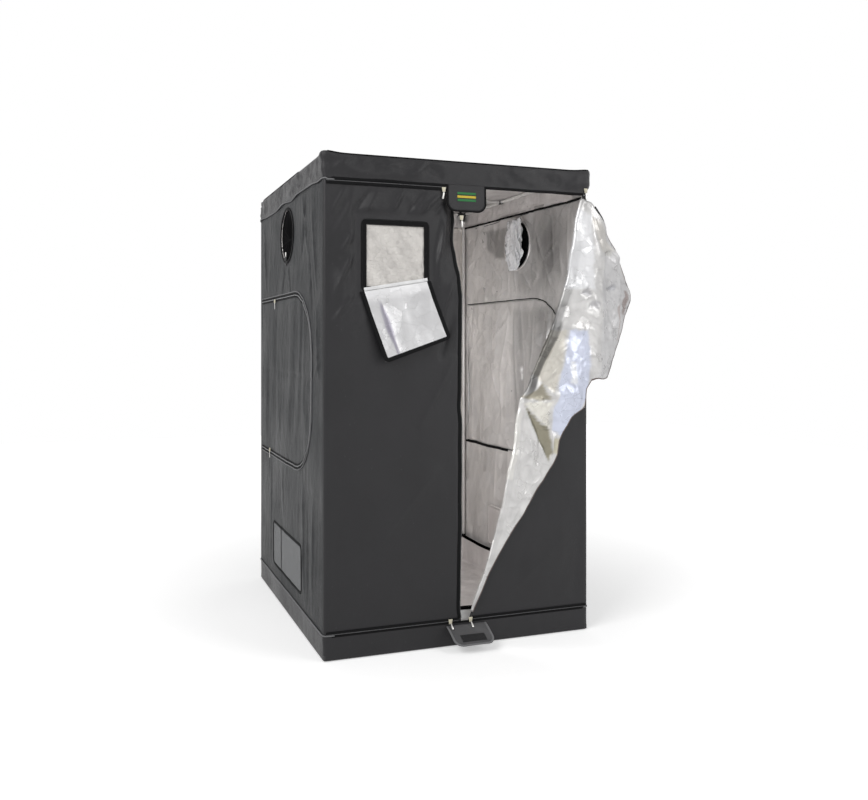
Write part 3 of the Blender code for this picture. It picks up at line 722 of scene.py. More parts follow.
class Finish:
    """A material with its shader, its object place, and the effects that feed it."""

    def __init__(self, name, roughness=0.6, metallic=0.0):
        self.material = bpy.data.materials.new(name)
        self.material.use_nodes = True
        self.nodes = Nodes(self.material.node_tree)
        self.shader = self.material.node_tree.nodes["Principled BSDF"]
        self.shader.inputs["Roughness"].default_value = roughness
        self.shader.inputs["Metallic"].default_value = metallic
        self.place = self.nodes.add("TexCoord").outputs["Object"]

    def effect(self, tree, **inputs):
        made = self.nodes.add("Group", node_tree=tree)
        self.link(self.place, made.inputs["Place"])
        for name, value in inputs.items():
            made.inputs[name].default_value = value
        return made.outputs

    def link(self, source, target):
        self.nodes.tree.links.new(source, target)

    def blend(self, share, first, second):
        """A colour between two, by a share."""
        mix = self.nodes.add("Mix", data_type="RGBA")
        for socket, value in ((mix.inputs["Factor"], share), (mix.inputs[6], first), (mix.inputs[7], second)):
            if isinstance(value, bpy.types.NodeSocket):
                self.link(value, socket)
            else:
                socket.default_value = value if isinstance(value, float) else (*value, 1)
        return mix.outputs[2]

    def colour(self, source):
        self.link(source, self.shader.inputs["Base Color"])

    def rough(self, source, low, high):
        self.link(self.nodes.remap(source, 0.0, 1.0, low, high), self.shader.inputs["Roughness"])

    def bump(self, height, distance=1.0, strength=1.0, below=None):
        inputs = {"Height": height, "Distance": distance, "Strength": strength}
        if below:
            inputs["Normal"] = below
        made = self.nodes.add("Bump", inputs).outputs[0]
        self.link(made, self.shader.inputs["Normal"])
        return made


def woven_finish(name, dark, light, pitch=0.0008, roughness=0.62, dusty=0.5, shine=0.2):
    made = Finish(name, roughness)
    weave = made.effect(WEAVE, Pitch=pitch)
    wear = made.effect(WEAR)
    yarn = made.blend(weave["Yarn"], dark, light)
    dust = made.nodes.math("MULTIPLY", wear["Dust"], dusty)
    dusted = made.blend(dust, yarn, [channel * 1.2 + 0.002 for channel in light])
    lint = made.nodes.math("MULTIPLY", wear["Lint"], 0.3)
    made.colour(made.blend(lint, dusted, (0.2, 0.2, 0.2)))
    made.rough(wear["Dust"], roughness - 0.05, roughness + 0.1)
    made.shader.inputs["Specular IOR Level"].default_value = shine
    wrinkle = made.nodes.noise(made.place, 90.0, 3.0)
    below = made.bump(wrinkle, 0.001, 0.35)
    made.bump(weave["Height"], 1.0, 0.5, below)
    return made.material


def foil_finish(name, dark, light, facets, strength, roughness, metallic, with_painted_light=False, drape=0.0, slant=0.0):
    """Silver cloth: crumpled facets, soft upright folds, and the grid of its backing cloth, with painted shade and
    painted reflection along the folds and facets.
    """
    made = Finish(name, roughness, metallic)
    crumple = made.effect(CRUMPLE, Facets=facets)
    weave = made.effect(WEAVE, Pitch=0.0011)
    leaning = made.nodes.add("VectorRotate", {"Vector": made.place, "Axis": (0, 1, 0), "Angle": slant}).outputs[0]
    upright = made.nodes.vector("MULTIPLY", leaning, (1.0, 1.0, 0.26))["Vector"]
    folds = made.nodes.noise(upright, 15.0, 3.0)
    # The upright folds are painted darker and lighter: painted shade along them
    share = made.nodes.remap(folds, 0.32, 0.68, 0.0, 1.0)
    tone_with_painted_light = made.nodes.math(
        "ADD", made.nodes.math("MULTIPLY", share, 0.7), made.nodes.math("MULTIPLY", crumple["Painted facet light"], 0.3))
    shade = made.blend(tone_with_painted_light, dark, light)
    # The attribute read here holds each point's painted light and shade
    if with_painted_light:
        painted_light = made.nodes.add("Attribute", attribute_name="painted_light").outputs["Color"]
        mix = made.nodes.add("Mix", data_type="RGBA", blend_type="MULTIPLY")
        mix.inputs["Factor"].default_value = 1.0
        made.link(shade, mix.inputs[6])
        made.link(painted_light, mix.inputs[7])
        shade = mix.outputs[2]
    made.colour(shade)
    made.rough(crumple["Painted facet light"], roughness - 0.05, roughness + 0.08)
    below = made.bump(crumple["Height"], strength, 1.0)
    if drape:
        below = made.bump(folds, drape, 0.8, below)
    made.bump(weave["Height"], 1.0, 0.2, below)
    return made.material


def moulded_finish(name, dark, light, roughness, metallic=0.0, grain=900.0, streaks=False):
    """Moulded plastic or drawn metal: fine grain, slight mottling and worn edges left to the light."""
    made = Finish(name, roughness, metallic)
    place = made.place
    if streaks:
        place = made.nodes.vector("MULTIPLY", place, (1.0, 1.0, 0.04))["Vector"]
    mottle = made.nodes.noise(place, 60.0, 4.0)
    made.colour(made.blend(made.nodes.remap(mottle, 0.3, 0.7, 0.0, 1.0), dark, light))
    made.rough(made.nodes.noise(place, 240.0, 2.0), roughness - 0.1, roughness + 0.12)
    made.bump(made.nodes.noise(place, grain, 1.0), 0.0002, 0.4)
    return made.material


def banded_finish(name, dark, light, pitch, roughness):
    """Zip teeth or twisted thread: bands along the strip's own length."""
    made = Finish(name, roughness)
    along = made.nodes.add("UVMap", uv_map="cloth").outputs[0]
    axis = made.nodes.add("SeparateXYZ", {0: along}).outputs[0]
    wave = made.nodes.math("SINE", made.nodes.math("MULTIPLY", axis, math.tau / pitch))
    share = made.nodes.remap(wave, -1.0, 1.0, 0.0, 1.0)
    made.colour(made.blend(share, dark, light))
    made.bump(share, 0.0006, 0.8)
    return made.material


OUTER = woven_finish("outer cloth", (0.0118, 0.0114, 0.0128), (0.0198, 0.0191, 0.0212), roughness=0.36, shine=0.31)
# A darker copy of the outer cloth for the side walls: painted shade against the stronger light on them
SIDE_CLOTH_PAINTED_DARKER = woven_finish("side wall cloth painted darker", (0.0072, 0.0080, 0.0093), (0.0124, 0.0136, 0.0156), roughness=0.46, shine=0.17)
# Near-black cloth for the discs that close the ports, darker than any other black: painted shade of each port's dark
# inside
PORT_PAINTED_DARK = woven_finish(
    "port cloth painted dark", (0.0015, 0.0015, 0.0017), (0.0035, 0.0035, 0.004), 0.0012, 0.85, 0.05, 0.05)
FLAP = woven_finish("flap cloth", (0.075, 0.075, 0.078), (0.115, 0.114, 0.117), 0.001)
LINING = foil_finish("silver lining", (0.66, 0.63, 0.62), (0.84, 0.81, 0.80), 14.0, 0.16, 0.34, 0.35, drape=0.006)
# A darker copy of the silver lining for the walls, with painted light and shade from their points
LINING_WITH_PAINTED_LIGHT = foil_finish(
    "silver wall lining with painted light", (0.62, 0.606, 0.60), (0.705, 0.69, 0.684), 14.0, 0.3, 0.32, 0.35, with_painted_light=True, drape=0.009)
# A darker copy of the silver lining for the folded half, with painted light and shade from its points
FOLDED = foil_finish("folded silver with painted light", (0.60, 0.60, 0.605), (0.74, 0.74, 0.745), 16.0, 0.3, 0.3, 0.4, with_painted_light=True)
FILM = foil_finish(
    "window film", (0.56, 0.535, 0.51), (0.80, 0.77, 0.73), 70.0, 0.35, 0.42, 0.15, drape=0.004, slant=0.7)
# A darker copy of the silver lining for the cover, with painted light and shade from its points
COVER = foil_finish("cover silver with painted light", (0.56, 0.56, 0.57), (0.66, 0.66, 0.67), 16.0, 0.15, 0.3, 0.4, with_painted_light=True)
ROOT_SILVER = foil_finish("root silver", (0.78, 0.78, 0.785), (0.95, 0.95, 0.95), 30.0, 0.15, 0.35, 0.1)
# A lighter, bluer copy of the silver lining for the port sleeves: painted light
SLEEVE_PAINTED_LIGHTER = foil_finish("sleeve silver painted lighter", (0.80, 0.81, 0.84), (0.97, 0.97, 0.98), 26.0, 0.6, 0.28, 0.1, drape=0.004)
TRAY_SILVER = foil_finish("tray silver", (0.66, 0.655, 0.65), (0.95, 0.95, 0.94), 9.0, 0.8, 0.3, 0.2)
BINDING = woven_finish("black binding", (0.004, 0.004, 0.0045), (0.009, 0.009, 0.0095), 0.0012, 0.7, 0.2, 0.1)
EDGING = woven_finish("brown edging", (0.11, 0.085, 0.08), (0.2, 0.16, 0.15), 0.001, 0.6, 0.3)
PIPING = woven_finish("grey piping", (0.15, 0.15, 0.155), (0.22, 0.22, 0.225), 0.001, 0.6, 0.4)
THREAD = banded_finish("thread", (0.02, 0.02, 0.02), (0.09, 0.09, 0.09), 0.0011, 0.6)
TEETH = banded_finish("zip teeth", (0.015, 0.015, 0.016), (0.11, 0.11, 0.115), 0.0022, 0.4)
GREY_TEETH = banded_finish("grey zip teeth", (0.12, 0.12, 0.125), (0.36, 0.36, 0.37), 0.0022, 0.4)
POLE = moulded_finish("pale pole", (0.70, 0.69, 0.68), (0.82, 0.81, 0.79), 0.36, 0.15, streaks=True)
PLASTIC = moulded_finish("black plastic", (0.018, 0.018, 0.019), (0.032, 0.032, 0.034), 0.45)
CREAM = moulded_finish("cream plastic", (0.62, 0.58, 0.44), (0.74, 0.7, 0.56), 0.4)
METAL = moulded_finish("bright metal", (0.55, 0.54, 0.52), (0.75, 0.74, 0.72), 0.28, 0.9)


def mesh_finish():
    """Open net: pale threads with dark holes between them."""
    made = Finish("vent net", 0.75)
    axes = made.nodes.add("SeparateXYZ", {0: made.place}).outputs
    threads = []
    for axis in (axes[1], axes[2]):
        wave = made.nodes.math("SINE", made.nodes.math("MULTIPLY", axis, math.tau / 0.0022))
        threads.append(made.nodes.remap(wave, -0.2, 0.4, 0.0, 1.0))
    thread = made.nodes.math("MAXIMUM", *threads)
    mottle = made.nodes.noise(made.place, 35.0, 3.0)
    pale = made.blend(mottle, (0.20, 0.205, 0.21), (0.30, 0.305, 0.31))
    made.colour(made.blend(thread, (0.05, 0.05, 0.052), pale))
    made.bump(thread, 0.0006, 0.6)
    return made.material


def hook_finish():
    """Hook tape: rows of stiff black hooks."""
    made = Finish("hook patch", 0.9)
    rows = made.nodes.add("TexVoronoi", {"Vector": made.place, "Scale": 700.0}).outputs["Distance"]
    share = made.nodes.remap(rows, 0.1, 0.6, 1.0, 0.0)
    made.colour(made.blend(share, (0.008, 0.008, 0.009), (0.035, 0.035, 0.037)))
    made.bump(share, 0.0012, 1.0)
    return made.material


NET = mesh_finish()
HOOKS = hook_finish()
GREEN = woven_finish("green stripe thread", (0.03, 0.16, 0.05), (0.05, 0.22, 0.08), 0.0009, 0.55, 0.2)
YELLOW = woven_finish("yellow stripe thread", (0.62, 0.47, 0.05), (0.75, 0.58, 0.08), 0.0009, 0.55, 0.2)


# Trimmings, most of which are black binding
def trim(name, place, path, section, body, slot="black_binding", finish=BINDING, closed=False, step=0.009):
    """A strip with what it rides on, its slot, which is not used, and its finish."""
    return give(strip(name, place, path, section, closed, step), body, slot, finish)


def sew(name, place, path, lift, body, closed=True):
    """A row of stitches in black thread."""
    give(stitches(name, place, path, lift, closed), body, "black_binding", THREAD)


def cross_zip(name, place, path, teeth_path, body):
    """A zip along the top or the bottom of a door half."""
    trim(f"{name}_zip_tape", place, path, tape_section(0.013, 0.0022, 0.0042), body)
    trim(f"{name}_zip_teeth", place, teeth_path, bead_section(0.0022, 0.0036), body, "black_plastic", TEETH)


# Roof cap, base tub and floor tray
class Ring:
    """A box of cloth seen as one ring of four walls with round upright corners."""

    def __init__(self, half, radius):
        self.half = half
        self.radius = radius
        self.straight = 2 * (half - radius)
        self.turn = math.pi / 2 * radius
        self.length = 4 * (self.straight + self.turn)

    def at(self, along):
        """The place and the outward way at a distance round the ring, anticlockwise from the front left."""
        side, rest = divmod(along % self.length, self.straight + self.turn)
        way = Vector((math.cos(side * math.pi / 2), math.sin(side * math.pi / 2), 0))
        outward = Vector((way.y, -way.x, 0))
        reach = self.half - self.radius
        if rest <= self.straight:
            return outward * self.half + way * (rest - reach), outward
        angle = (rest - self.straight) / self.radius
        bent = outward * math.cos(angle) + way * math.sin(angle)
        return outward * reach + way * reach + bent * self.radius, bent


def ring_cloth(name, ring, rows, centre_height, ripple_height):
    """Walls from rows, each a function that gives (outward, height), closed by a floor or roof towards the centre."""
    bm = bmesh.new()
    count = round(ring.length / CELL)
    stops_round = [ring.length * number / count for number in range(count)]
    loops = []
    for row in rows:
        loop = []
        for along in stops_round:
            out, height = row(along)
            spot, way = ring.at(along)
            loop.append(bm.verts.new(spot + way * out + UP * height))
        loops.append(loop)
    last = loops[-1]
    steps = 50
    for step in range(1, steps):
        share = step / steps
        loop = []
        for vert in last:
            flat = Vector((vert.co.x * (1 - share), vert.co.y * (1 - share), 0))
            sway = ripple(flat.x, flat.y, 3, 3, 5.0) * 0.5 + ripple(flat.x, flat.y, 11, 11, 15.0) * 0.25
            height = vert.co.z + (centre_height - vert.co.z) * smooth(share, 0, 0.35)
            height += ripple_height * sway * smooth(share, 0, 0.2)
            loop.append(bm.verts.new(flat + UP * height))
        loops.append(loop)
    for low, high in zip(loops, loops[1:]):
        for index in range(count):
            after = (index + 1) % count
            bm.faces.new((low[index], low[after], high[after], high[index]))
    middle = bm.verts.new((0, 0, centre_height))
    for index in range(count):
        bm.faces.new((loops[-1][index], loops[-1][(index + 1) % count], middle))
    bm.normal_update()
    facing_out = sum(face.normal.dot(face.calc_center_median().normalized()) * face.calc_area() for face in bm.faces)
    if facing_out < 0:
        bmesh.ops.reverse_faces(bm, faces=bm.faces)
    return line_with(to_object(name, bm))


CAP = Ring(HALF, 0.014)
CAP_SIDE = CAP.straight + CAP.turn
# The top flap's middle, the lengths round the tent that are piped, and the front lengths, which are bound in black: a
# dark seam, and painted shade where the grey piping runs in shade
FLAP_ALONG = HALF + 0.015 - 0.014
PIPED = (CAP_SIDE - 0.03, CAP.length + 0.03)
FRONT_SHADED = (0.02, CAP_SIDE - 0.035)
# The skirt's lower edge on the left wall, from the back to the front
LEFT_WAVE = [
    (-0.60, 1.898), (-0.508, 1.896), (-0.416, 1.903), (-0.183, 1.905), (-0.073, 1.893), (0.083, 1.905),
    (0.254, 1.892), (0.415, 1.894), (0.60, 1.904),
]


def skirt_edge(along):
    """Where the skirt's lower edge is, round the tent."""
    side = int(along // CAP_SIDE)
    if side == 3:
        return between(LEFT_WAVE, 0.6 - (along - 3 * CAP_SIDE))
    return SKIRT_BOTTOM + 0.004 * ripple(along, 0, 6, 1, 33.0)


SKIRT_CREASES = [
    ((0.02, 1.925), (0.10, 1.985), 0.006, 0.006), ((0.03, 1.96), (0.17, 1.915), 0.007, 0.006),
    ((0.16, 1.915), (0.36, 1.925), 0.008, 0.007), ((0.34, 1.92), (0.42, 1.975), 0.008, 0.008),
    ((0.42, 1.975), (0.50, 1.925), 0.009, -0.007), ((0.54, 1.91), (0.60, 1.975), 0.006, 0.006),
    ((0.20, 1.955), (0.31, 1.965), 0.009, 0.006), ((0.13, 1.985), (0.20, 1.945), 0.006, 0.005),
    ((0.66, 1.98), (0.74, 1.92), 0.007, 0.006), ((0.78, 1.92), (0.90, 1.97), 0.008, 0.006),
    ((0.92, 1.97), (1.04, 1.925), 0.007, -0.006), ((1.08, 1.92), (1.15, 1.975), 0.006, 0.006),
]


def skirt_relief(along, b):
    out = 0.009 * ripple(along, b, 9, 9, 2.2) + 0.003 * ripple(along, b, 36, 26, 6.1)
    out += 0.006 * ridges(ripple(along + 1.2 * b, b, 10, 16, 4.1), 4)
    out += creases_at(SKIRT_CREASES, along, b, 1.4, 1.7)
    out *= 0.2 + 0.8 * smooth(abs(along - FLAP_ALONG), 0.09, 0.13)
    return out * smooth(b, 1.907, 1.926) * (1 - smooth(b, 1.985, 1.998))


def corner_tuck(along):
    """How far the cap is pulled in over its two back corners, and pushed out over the posts at its front ones."""
    tuck = 0
    for corner, depth in ((0, -0.009), (1, -0.009), (2, 0.004), (3, 0.011), (4, -0.009)):
        away = along % CAP.length - corner * CAP_SIDE + CAP.turn / 2
        tuck += depth * math.exp(-(away / 0.05) ** 2)
    return tuck


def skirt_row(share):
    """A row of the skirt, at a share of the way up it."""
    def row(along):
        low = skirt_edge(along)
        b = low + (1.994 - low) * share
        bulge = 0.014 * spot_at(along, b, CAP_SIDE, 1.955, 0.05, 0.035)
        tuck = corner_tuck(along) * smooth(b, 1.96, 1.994)
        return skirt_relief(along, b) + bulge - tuck + 0.0004, b - tuck * 0.5
    return row


def cap_turn(angle):
    """A row where the skirt turns over into the roof."""
    def row(along):
        tuck = corner_tuck(along)
        return 0.0004 - tuck - 0.005 * (1 - math.cos(angle)), 1.994 - tuck * 0.5 + 0.005 * math.sin(angle)
    return row


def floor_turn(radius, height, angle):
    """A row where a wall turns under into the floor."""
    return lambda along: (-radius * (1 - math.cos(angle)), height - radius * math.sin(angle))


def build_roof_cap():
    rows = [skirt_row(step / 9) for step in range(10)] + [cap_turn(math.pi / 2 * step / 4) for step in range(1, 5)]
    cap = give(ring_cloth("roof_cap_cloth", CAP, rows, 1.988, 0.006), "root", "outer_cloth", OUTER, LINING)
    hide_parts("roof_cap")


def ring_strip(name, ring, height, section, start, end, slot="black_binding", finish=BINDING, inset=lambda along: 0):
    """A strip round the tent at a height that may change along it."""
    def place(along, aside, out):
        spot, way = ring.at(along)
        return spot + way * (out - inset(along)) + UP * (height(along) + aside)
    path = [(start + (end - start) * step / 12, 0) for step in range(13)]
    closed = abs(end - start - ring.length) < 0.001
    if closed:
        path = path[:-1]
    trim(name, place, path, section, "root", slot, finish, closed)


def trim_roof_cap():
    ring_strip("skirt_piping", CAP, lambda along: skirt_edge(along) - 0.001, bead_section(0.003, 0.0025), *PIPED,
               "outer_cloth", PIPING)
    # Black binding along the front: painted shade in place of the grey piping
    ring_strip("skirt_front_binding", CAP, lambda along: skirt_edge(along) + 0.0035,
               tape_section(0.011, -0.001, 0.0046), *FRONT_SHADED)
    ring_strip("roof_edge_binding", CAP, lambda along: 1.9965 - 0.5 * corner_tuck(along),
               bead_section(0.0032, -0.0008), 0, CAP.length, inset=corner_tuck)


def tub_relief(along, b):
    out = 0.003 * ripple(along, b, 5, 8, 12.2) + 0.0012 * ripple(along, b, 30, 20, 16.1)
    return out * smooth(b, 0.0, 0.02) * (1 - smooth(b, 0.085, 0.1))


def build_base_tub():
    def wall(height):
        return lambda along: (tub_relief(along, height) + 0.0004, height)
    rows = [wall(0.1 - 0.094 * step / 9) for step in range(10)]
    rows += [floor_turn(0.005, 0.006, math.pi / 2 * step / 3) for step in range(1, 4)]
    tub = give(ring_cloth("base_tub_cloth", CAP, rows, 0.0012, 0.0), "root", "outer_cloth", OUTER, BINDING)
    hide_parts("base_tub")
    ring_strip("tub_piping", CAP, lambda along: 0.1005 + 0.002 * ripple(along, 0, 7, 1, 3.0),
               bead_section(0.003, 0.002), *PIPED, "outer_cloth", PIPING)
    # Black binding along the front: painted shade in place of the grey piping
    ring_strip("tub_front_binding", CAP, lambda along: 0.097, tape_section(0.008, 0.0003, 0.0022), *FRONT_SHADED)


TRAY = Ring(TRAY_HALF, 0.016)


def tray_top(along):
    return TRAY_HEIGHT - 0.004 + 0.006 * ripple(along, 0, 6, 1, 9.9)


def build_tray():
    def wall(share):
        def row(along):
            b = 0.012 + (tray_top(along) - 0.012) * share
            out = 0.006 * ripple(along, b, 9, 14, 4.4) + 0.003 * ripple(along, b, 25, 20, 14.4) - 0.004
            out += 0.005 * ridges(ripple(along, b, 11, 12, 7.7), 4)
            return out * smooth(b, 0.0, 0.03), b
        return row
    rows = [wall(1 - step / 11) for step in range(12)]
    rows += [floor_turn(0.009, 0.012, math.pi / 2 * step / 3) for step in range(1, 4)]
    tray = ring_cloth("floor_tray_cloth", TRAY, rows, 0.0035, 0.0012)
    give(tray, "root", "silver_lining", TRAY_SILVER, LINING)
    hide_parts("floor_tray")
    ring_strip("tray_rim", TRAY, lambda along: tray_top(along) - 0.004, tape_section(0.014, -0.0065, 0.0022), 0,
               TRAY.length)


# Walls
def wall_rows():
    return stops(TUB_TOP - 0.012, SKIRT_BOTTOM + 0.02, CELL)


def build_back_wall():
    wall = cloth_panel("back_wall_cloth", BACK, stops(-HALF, HALF, CELL, True, True), wall_rows(), tone_with_painted_light=back_painted_light)
    give(wall, "root", "outer_cloth", SIDE_CLOTH_PAINTED_DARKER, LINING_WITH_PAINTED_LIGHT)
    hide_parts("back_wall")


def build_side(side):
    panel = SIDES[side]
    port = round_hole(PORT_CENTRE, PORT_RADIUS)
    door = box_hole(SIDE_DOOR, SIDE_DOOR_CORNER, 0.004)
    vent = box_hole(VENT, 0.02, 0.02)
    across, heights = stops(-0.588, 0.588, CELL), wall_rows()

    def filling(name, on_panel, box, hole, tone_with_painted_light=None):
        """The cloth that fills a hole, on the wall's own grid."""
        columns = [a for a in across if box[0] - CELL < a < box[2] + CELL]
        rows = [b for b in heights if box[1] - CELL < b < box[3] + CELL]
        return cloth_panel(f"{side}_{name}", on_panel, columns, rows, [outside_of(hole)], tone_with_painted_light=tone_with_painted_light)

    wall = cloth_panel(f"{side}_wall_cloth", panel, across, heights, [port, door, vent], tone_with_painted_light=wall_tone_and_painted_light)
    give(wall, "root", "outer_cloth", SIDE_CLOTH_PAINTED_DARKER, LINING_WITH_PAINTED_LIGHT)
    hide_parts(f"{side}_wall")
    leaf = filling("side_door_cloth", SIDE_DOORS[side], SIDE_DOOR, door, wall_tone_and_painted_light)
    give(leaf, f"{side}_side_door", "outer_cloth", SIDE_CLOTH_PAINTED_DARKER, LINING_WITH_PAINTED_LIGHT)
    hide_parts(f"{side}_side_door")
    net = filling("vent_net", panel, VENT, vent)
    give(net, "root", "vent_mesh", NET, NET)
    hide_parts(f"{side}_vent_mesh")
    trim_side(side)
    build_sleeve(side, panel)
    build_vent_cover(side)


def trim_side(side):
    """The side wall's zip, seams and bindings, outside and inside."""
    place, door_place = SIDES[side].on, SIDE_DOORS[side].on
    low, high, inside = 0.0006, 0.0018, -0.0014
    skirt_seam = [(-0.585, 1.886), (0.0, 1.898), (0.585, 1.907)]
    vent_seam = [(0.115, VENT[1]), (0.117, 0.26), (0.114, VENT[3])]
    leaf = f"{side}_side_door"

    def sew_on(name, where, path, section, body="root", **dressing):
        trim(f"{side}_{name}", where, path, section, body, **dressing)

    sew_on("side_zip_outer_tape", place, side_door_path(-0.006), tape_section(0.010, low, high))
    sew_on("side_zip_outer_bead", place, side_door_path(-0.0125), bead_section(0.0024, high), slot="outer_cloth",
           finish=PIPING)
    sew_on("side_zip_inner_tape", door_place, side_door_path(0.008), tape_section(0.012, low, high), leaf)
    sew_on("side_zip_teeth", door_place, side_door_path(0.0028), bead_section(0.0022, 0.0014), leaf,
           slot="black_plastic", finish=GREY_TEETH)
    sew_on("side_zip_inside_tape", place, side_door_path(-0.003), tape_section(0.004, -0.0045, inside))
    sew_on("port_ring", place, round_port(0.1225), tape_section(0.013, 0.0004, 0.0035), closed=True)
    sew_on("vent_binding", place, box_outline(inset_box(VENT, -0.004), 0.022), tape_section(0.013, -0.003, 0.0022),
           closed=True)
    sew_on("vent_seam", place, vent_seam, tape_section(0.006, low, high))
    sew_on("skirt_seam_inside", place, skirt_seam, tape_section(0.009, -0.0075, inside))
    sew_on("low_seam_inside", place, [(0.1, 0.690), (0.57, 0.690)], tape_section(0.010, -0.0062, inside))


def round_port(radius):
    """A path round the port."""
    turns = [math.tau * step / 48 for step in range(48)]
    return [(PORT_CENTRE[0] + radius * math.cos(turn), PORT_CENTRE[1] + radius * math.sin(turn)) for turn in turns]


def pleated_loops(name, panel, loops, closed_start, closed_end):
    """A sleeve of cloth from loops of (a, b, out) places on a panel, closed at the ends where it is gathered."""
    bm = bmesh.new()
    flat_map = bm.loops.layers.uv.new("cloth")
    rings = [[bm.verts.new(panel.flat(*spot)) for spot in loop] for loop in loops]
    count = len(rings[0])
    for number, (low, high) in enumerate(zip(rings, rings[1:])):
        for index in range(count):
            after = (index + 1) % count
            face = bm.faces.new((low[index], low[after], high[after], high[index]))
            marks = ((index, number), (index + 1, number), (index + 1, number + 1), (index, number + 1))
            for corner, mark in zip(face.loops, marks):
                corner[flat_map].uv = (mark[0] * 0.004, mark[1] * 0.01)
    for wanted, ring in ((closed_start, rings[0]), (closed_end, rings[-1])):
        if wanted:
            middle = bm.verts.new(sum((vert.co for vert in ring), Vector()) / count)
            for index in range(count):
                bm.faces.new((ring[index], ring[(index + 1) % count], middle))
    bmesh.ops.recalc_face_normals(bm, faces=bm.faces)
    return to_object(name, bm)


def build_sleeve(side, panel):
    """The port's silver sleeve, gathered in its own folds and hanging just inside the wall."""
    around, long = 96, 26
    loops = []
    for step in range(long + 1):
        share = step / long
        swell = math.sin(math.pi * min(1, 0.15 + share * 0.75)) ** 0.8
        half = (0.034 + 0.036 * swell) * (1 - 0.3 * smooth(share, 0.75, 1.0))
        thick = 0.005 + 0.008 * math.sin(math.pi * min(1, 0.1 + share * 0.8))
        middle = -0.036 + 0.026 * share + 0.005 * math.sin(5 * share)
        loop = []
        for index in range(around):
            turn = math.tau * index / around
            pleat = 1 + 0.09 * math.sin(turn * 9 + 2.5 * share) + 0.06 * math.sin(turn * 23 - 4 * share)
            knot = 0.42 * ripple(math.cos(turn) + 3 * share, math.sin(turn) + share, 2.5, 3.5, 8.0)
            a = middle + half * (pleat + knot) * math.cos(turn)
            b = 1.866 - 0.252 * share + 0.006 * math.sin(turn * 5 + 9 * share) * (1 - share)
            loop.append((a, b, -0.0345 - thick * (pleat + 1.5 * knot) * math.sin(turn)))
        loops.append(loop)
    sleeve = line_with(pleated_loops(f"{side}_port_sleeve_cloth", panel, loops, True, True))
    give(sleeve, "root", "silver_lining", SLEEVE_PAINTED_LIGHTER, BINDING)
    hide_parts(f"{side}_port_sleeve")

    steps = 14
    loops = []
    for step in range(1, steps + 1):
        share = step / steps
        radius = 0.1185 * share
        pull = 0.02 * (1 - share)
        loop = []
        for index in range(around):
            turn = math.tau * index / around
            pleat = math.sin(turn * 19 + 4 * ripple(math.cos(turn), math.sin(turn), 1.2, 1.2, 5.0))
            out = -0.016 + 0.011 * share ** 1.5 + 0.0025 * pleat * math.sin(math.pi * share)
            a, b = PORT_CENTRE[0] + radius * math.cos(turn), PORT_CENTRE[1] - pull + radius * math.sin(turn)
            loop.append((a, b, out))
        loops.append(loop)
    # The closing disc is near-black: painted shade inside the port
    shade = line_with(pleated_loops(f"{side}_port_shade", panel, loops, True, False), lined=False)
    give(shade, "root", "black_binding", PORT_PAINTED_DARK, PORT_PAINTED_DARK)
    trim(f"{side}_port_inner_ring", panel.on, round_port(0.1235), tape_section(0.012, -0.0052, -0.0012), "root",
         "silver_lining", LINING, True)


class Behind:
    """A panel a little inside another one, or outside it where the depth is below zero, with its own relief."""

    def __init__(self, panel, depth, relief):
        self.panel = panel
        self.outward = panel.outward
        self.depth = depth
        self.relief = relief

    def on(self, a, b, out=0.0):
        return self.panel.flat(a, b, self.relief(a, b) - self.depth + out)


def build_vent_cover(side):
    def relief(a, b):
        loose = (1 - smooth(b, 0.34, 0.377)) * smooth(b, 0.16, 0.2)
        hem = -0.0045 * smooth(0.377 - b, 0, 0.02)
        return hem - 0.004 * loose - 0.003 * loose * ripple(a, b, 9, 6, 21.0)
    panel = Behind(SIDES[side], 0.0025, relief)
    cover = cloth_panel(f"{side}_vent_cover_cloth", panel, stops(-0.262, 0.292, CELL), stops(0.16, 0.377, CELL))
    give(cover, f"{side}_vent_cover", "silver_lining", BINDING, LINING)
    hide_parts(f"{side}_vent_cover")
    trim(f"{side}_vent_cover_edge", panel.on, box_outline((-0.256, 0.166, 0.286, 0.371), 0.01),
         tape_section(0.012, -0.0026, 0.0006), f"{side}_vent_cover", "silver_lining", LINING, True)


# Left door half
def build_left_door():
    window = box_hole(inset_box(WINDOW, 0.014), 0.006, 0.006)
    columns = stops(-HALF, 0.0, DOOR_CELL, turn_start=True)
    rows = stops(TUB_TOP - 0.012, SKIRT_BOTTOM + 0.02, DOOR_CELL)

    def shift(a, b):
        """The door's free edge isn't straight: its columns close up towards the edge."""
        return a + between(DOOR_EDGE, b) * smooth(a, -0.12, 0.0), b
    door = cloth_panel("left_door_cloth", DOOR, columns, rows, [window], shift, 0.0034)
    give(door, "left_door", "outer_cloth", OUTER, LINING)
    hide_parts("left_door")
    build_window()
    build_door_zips()


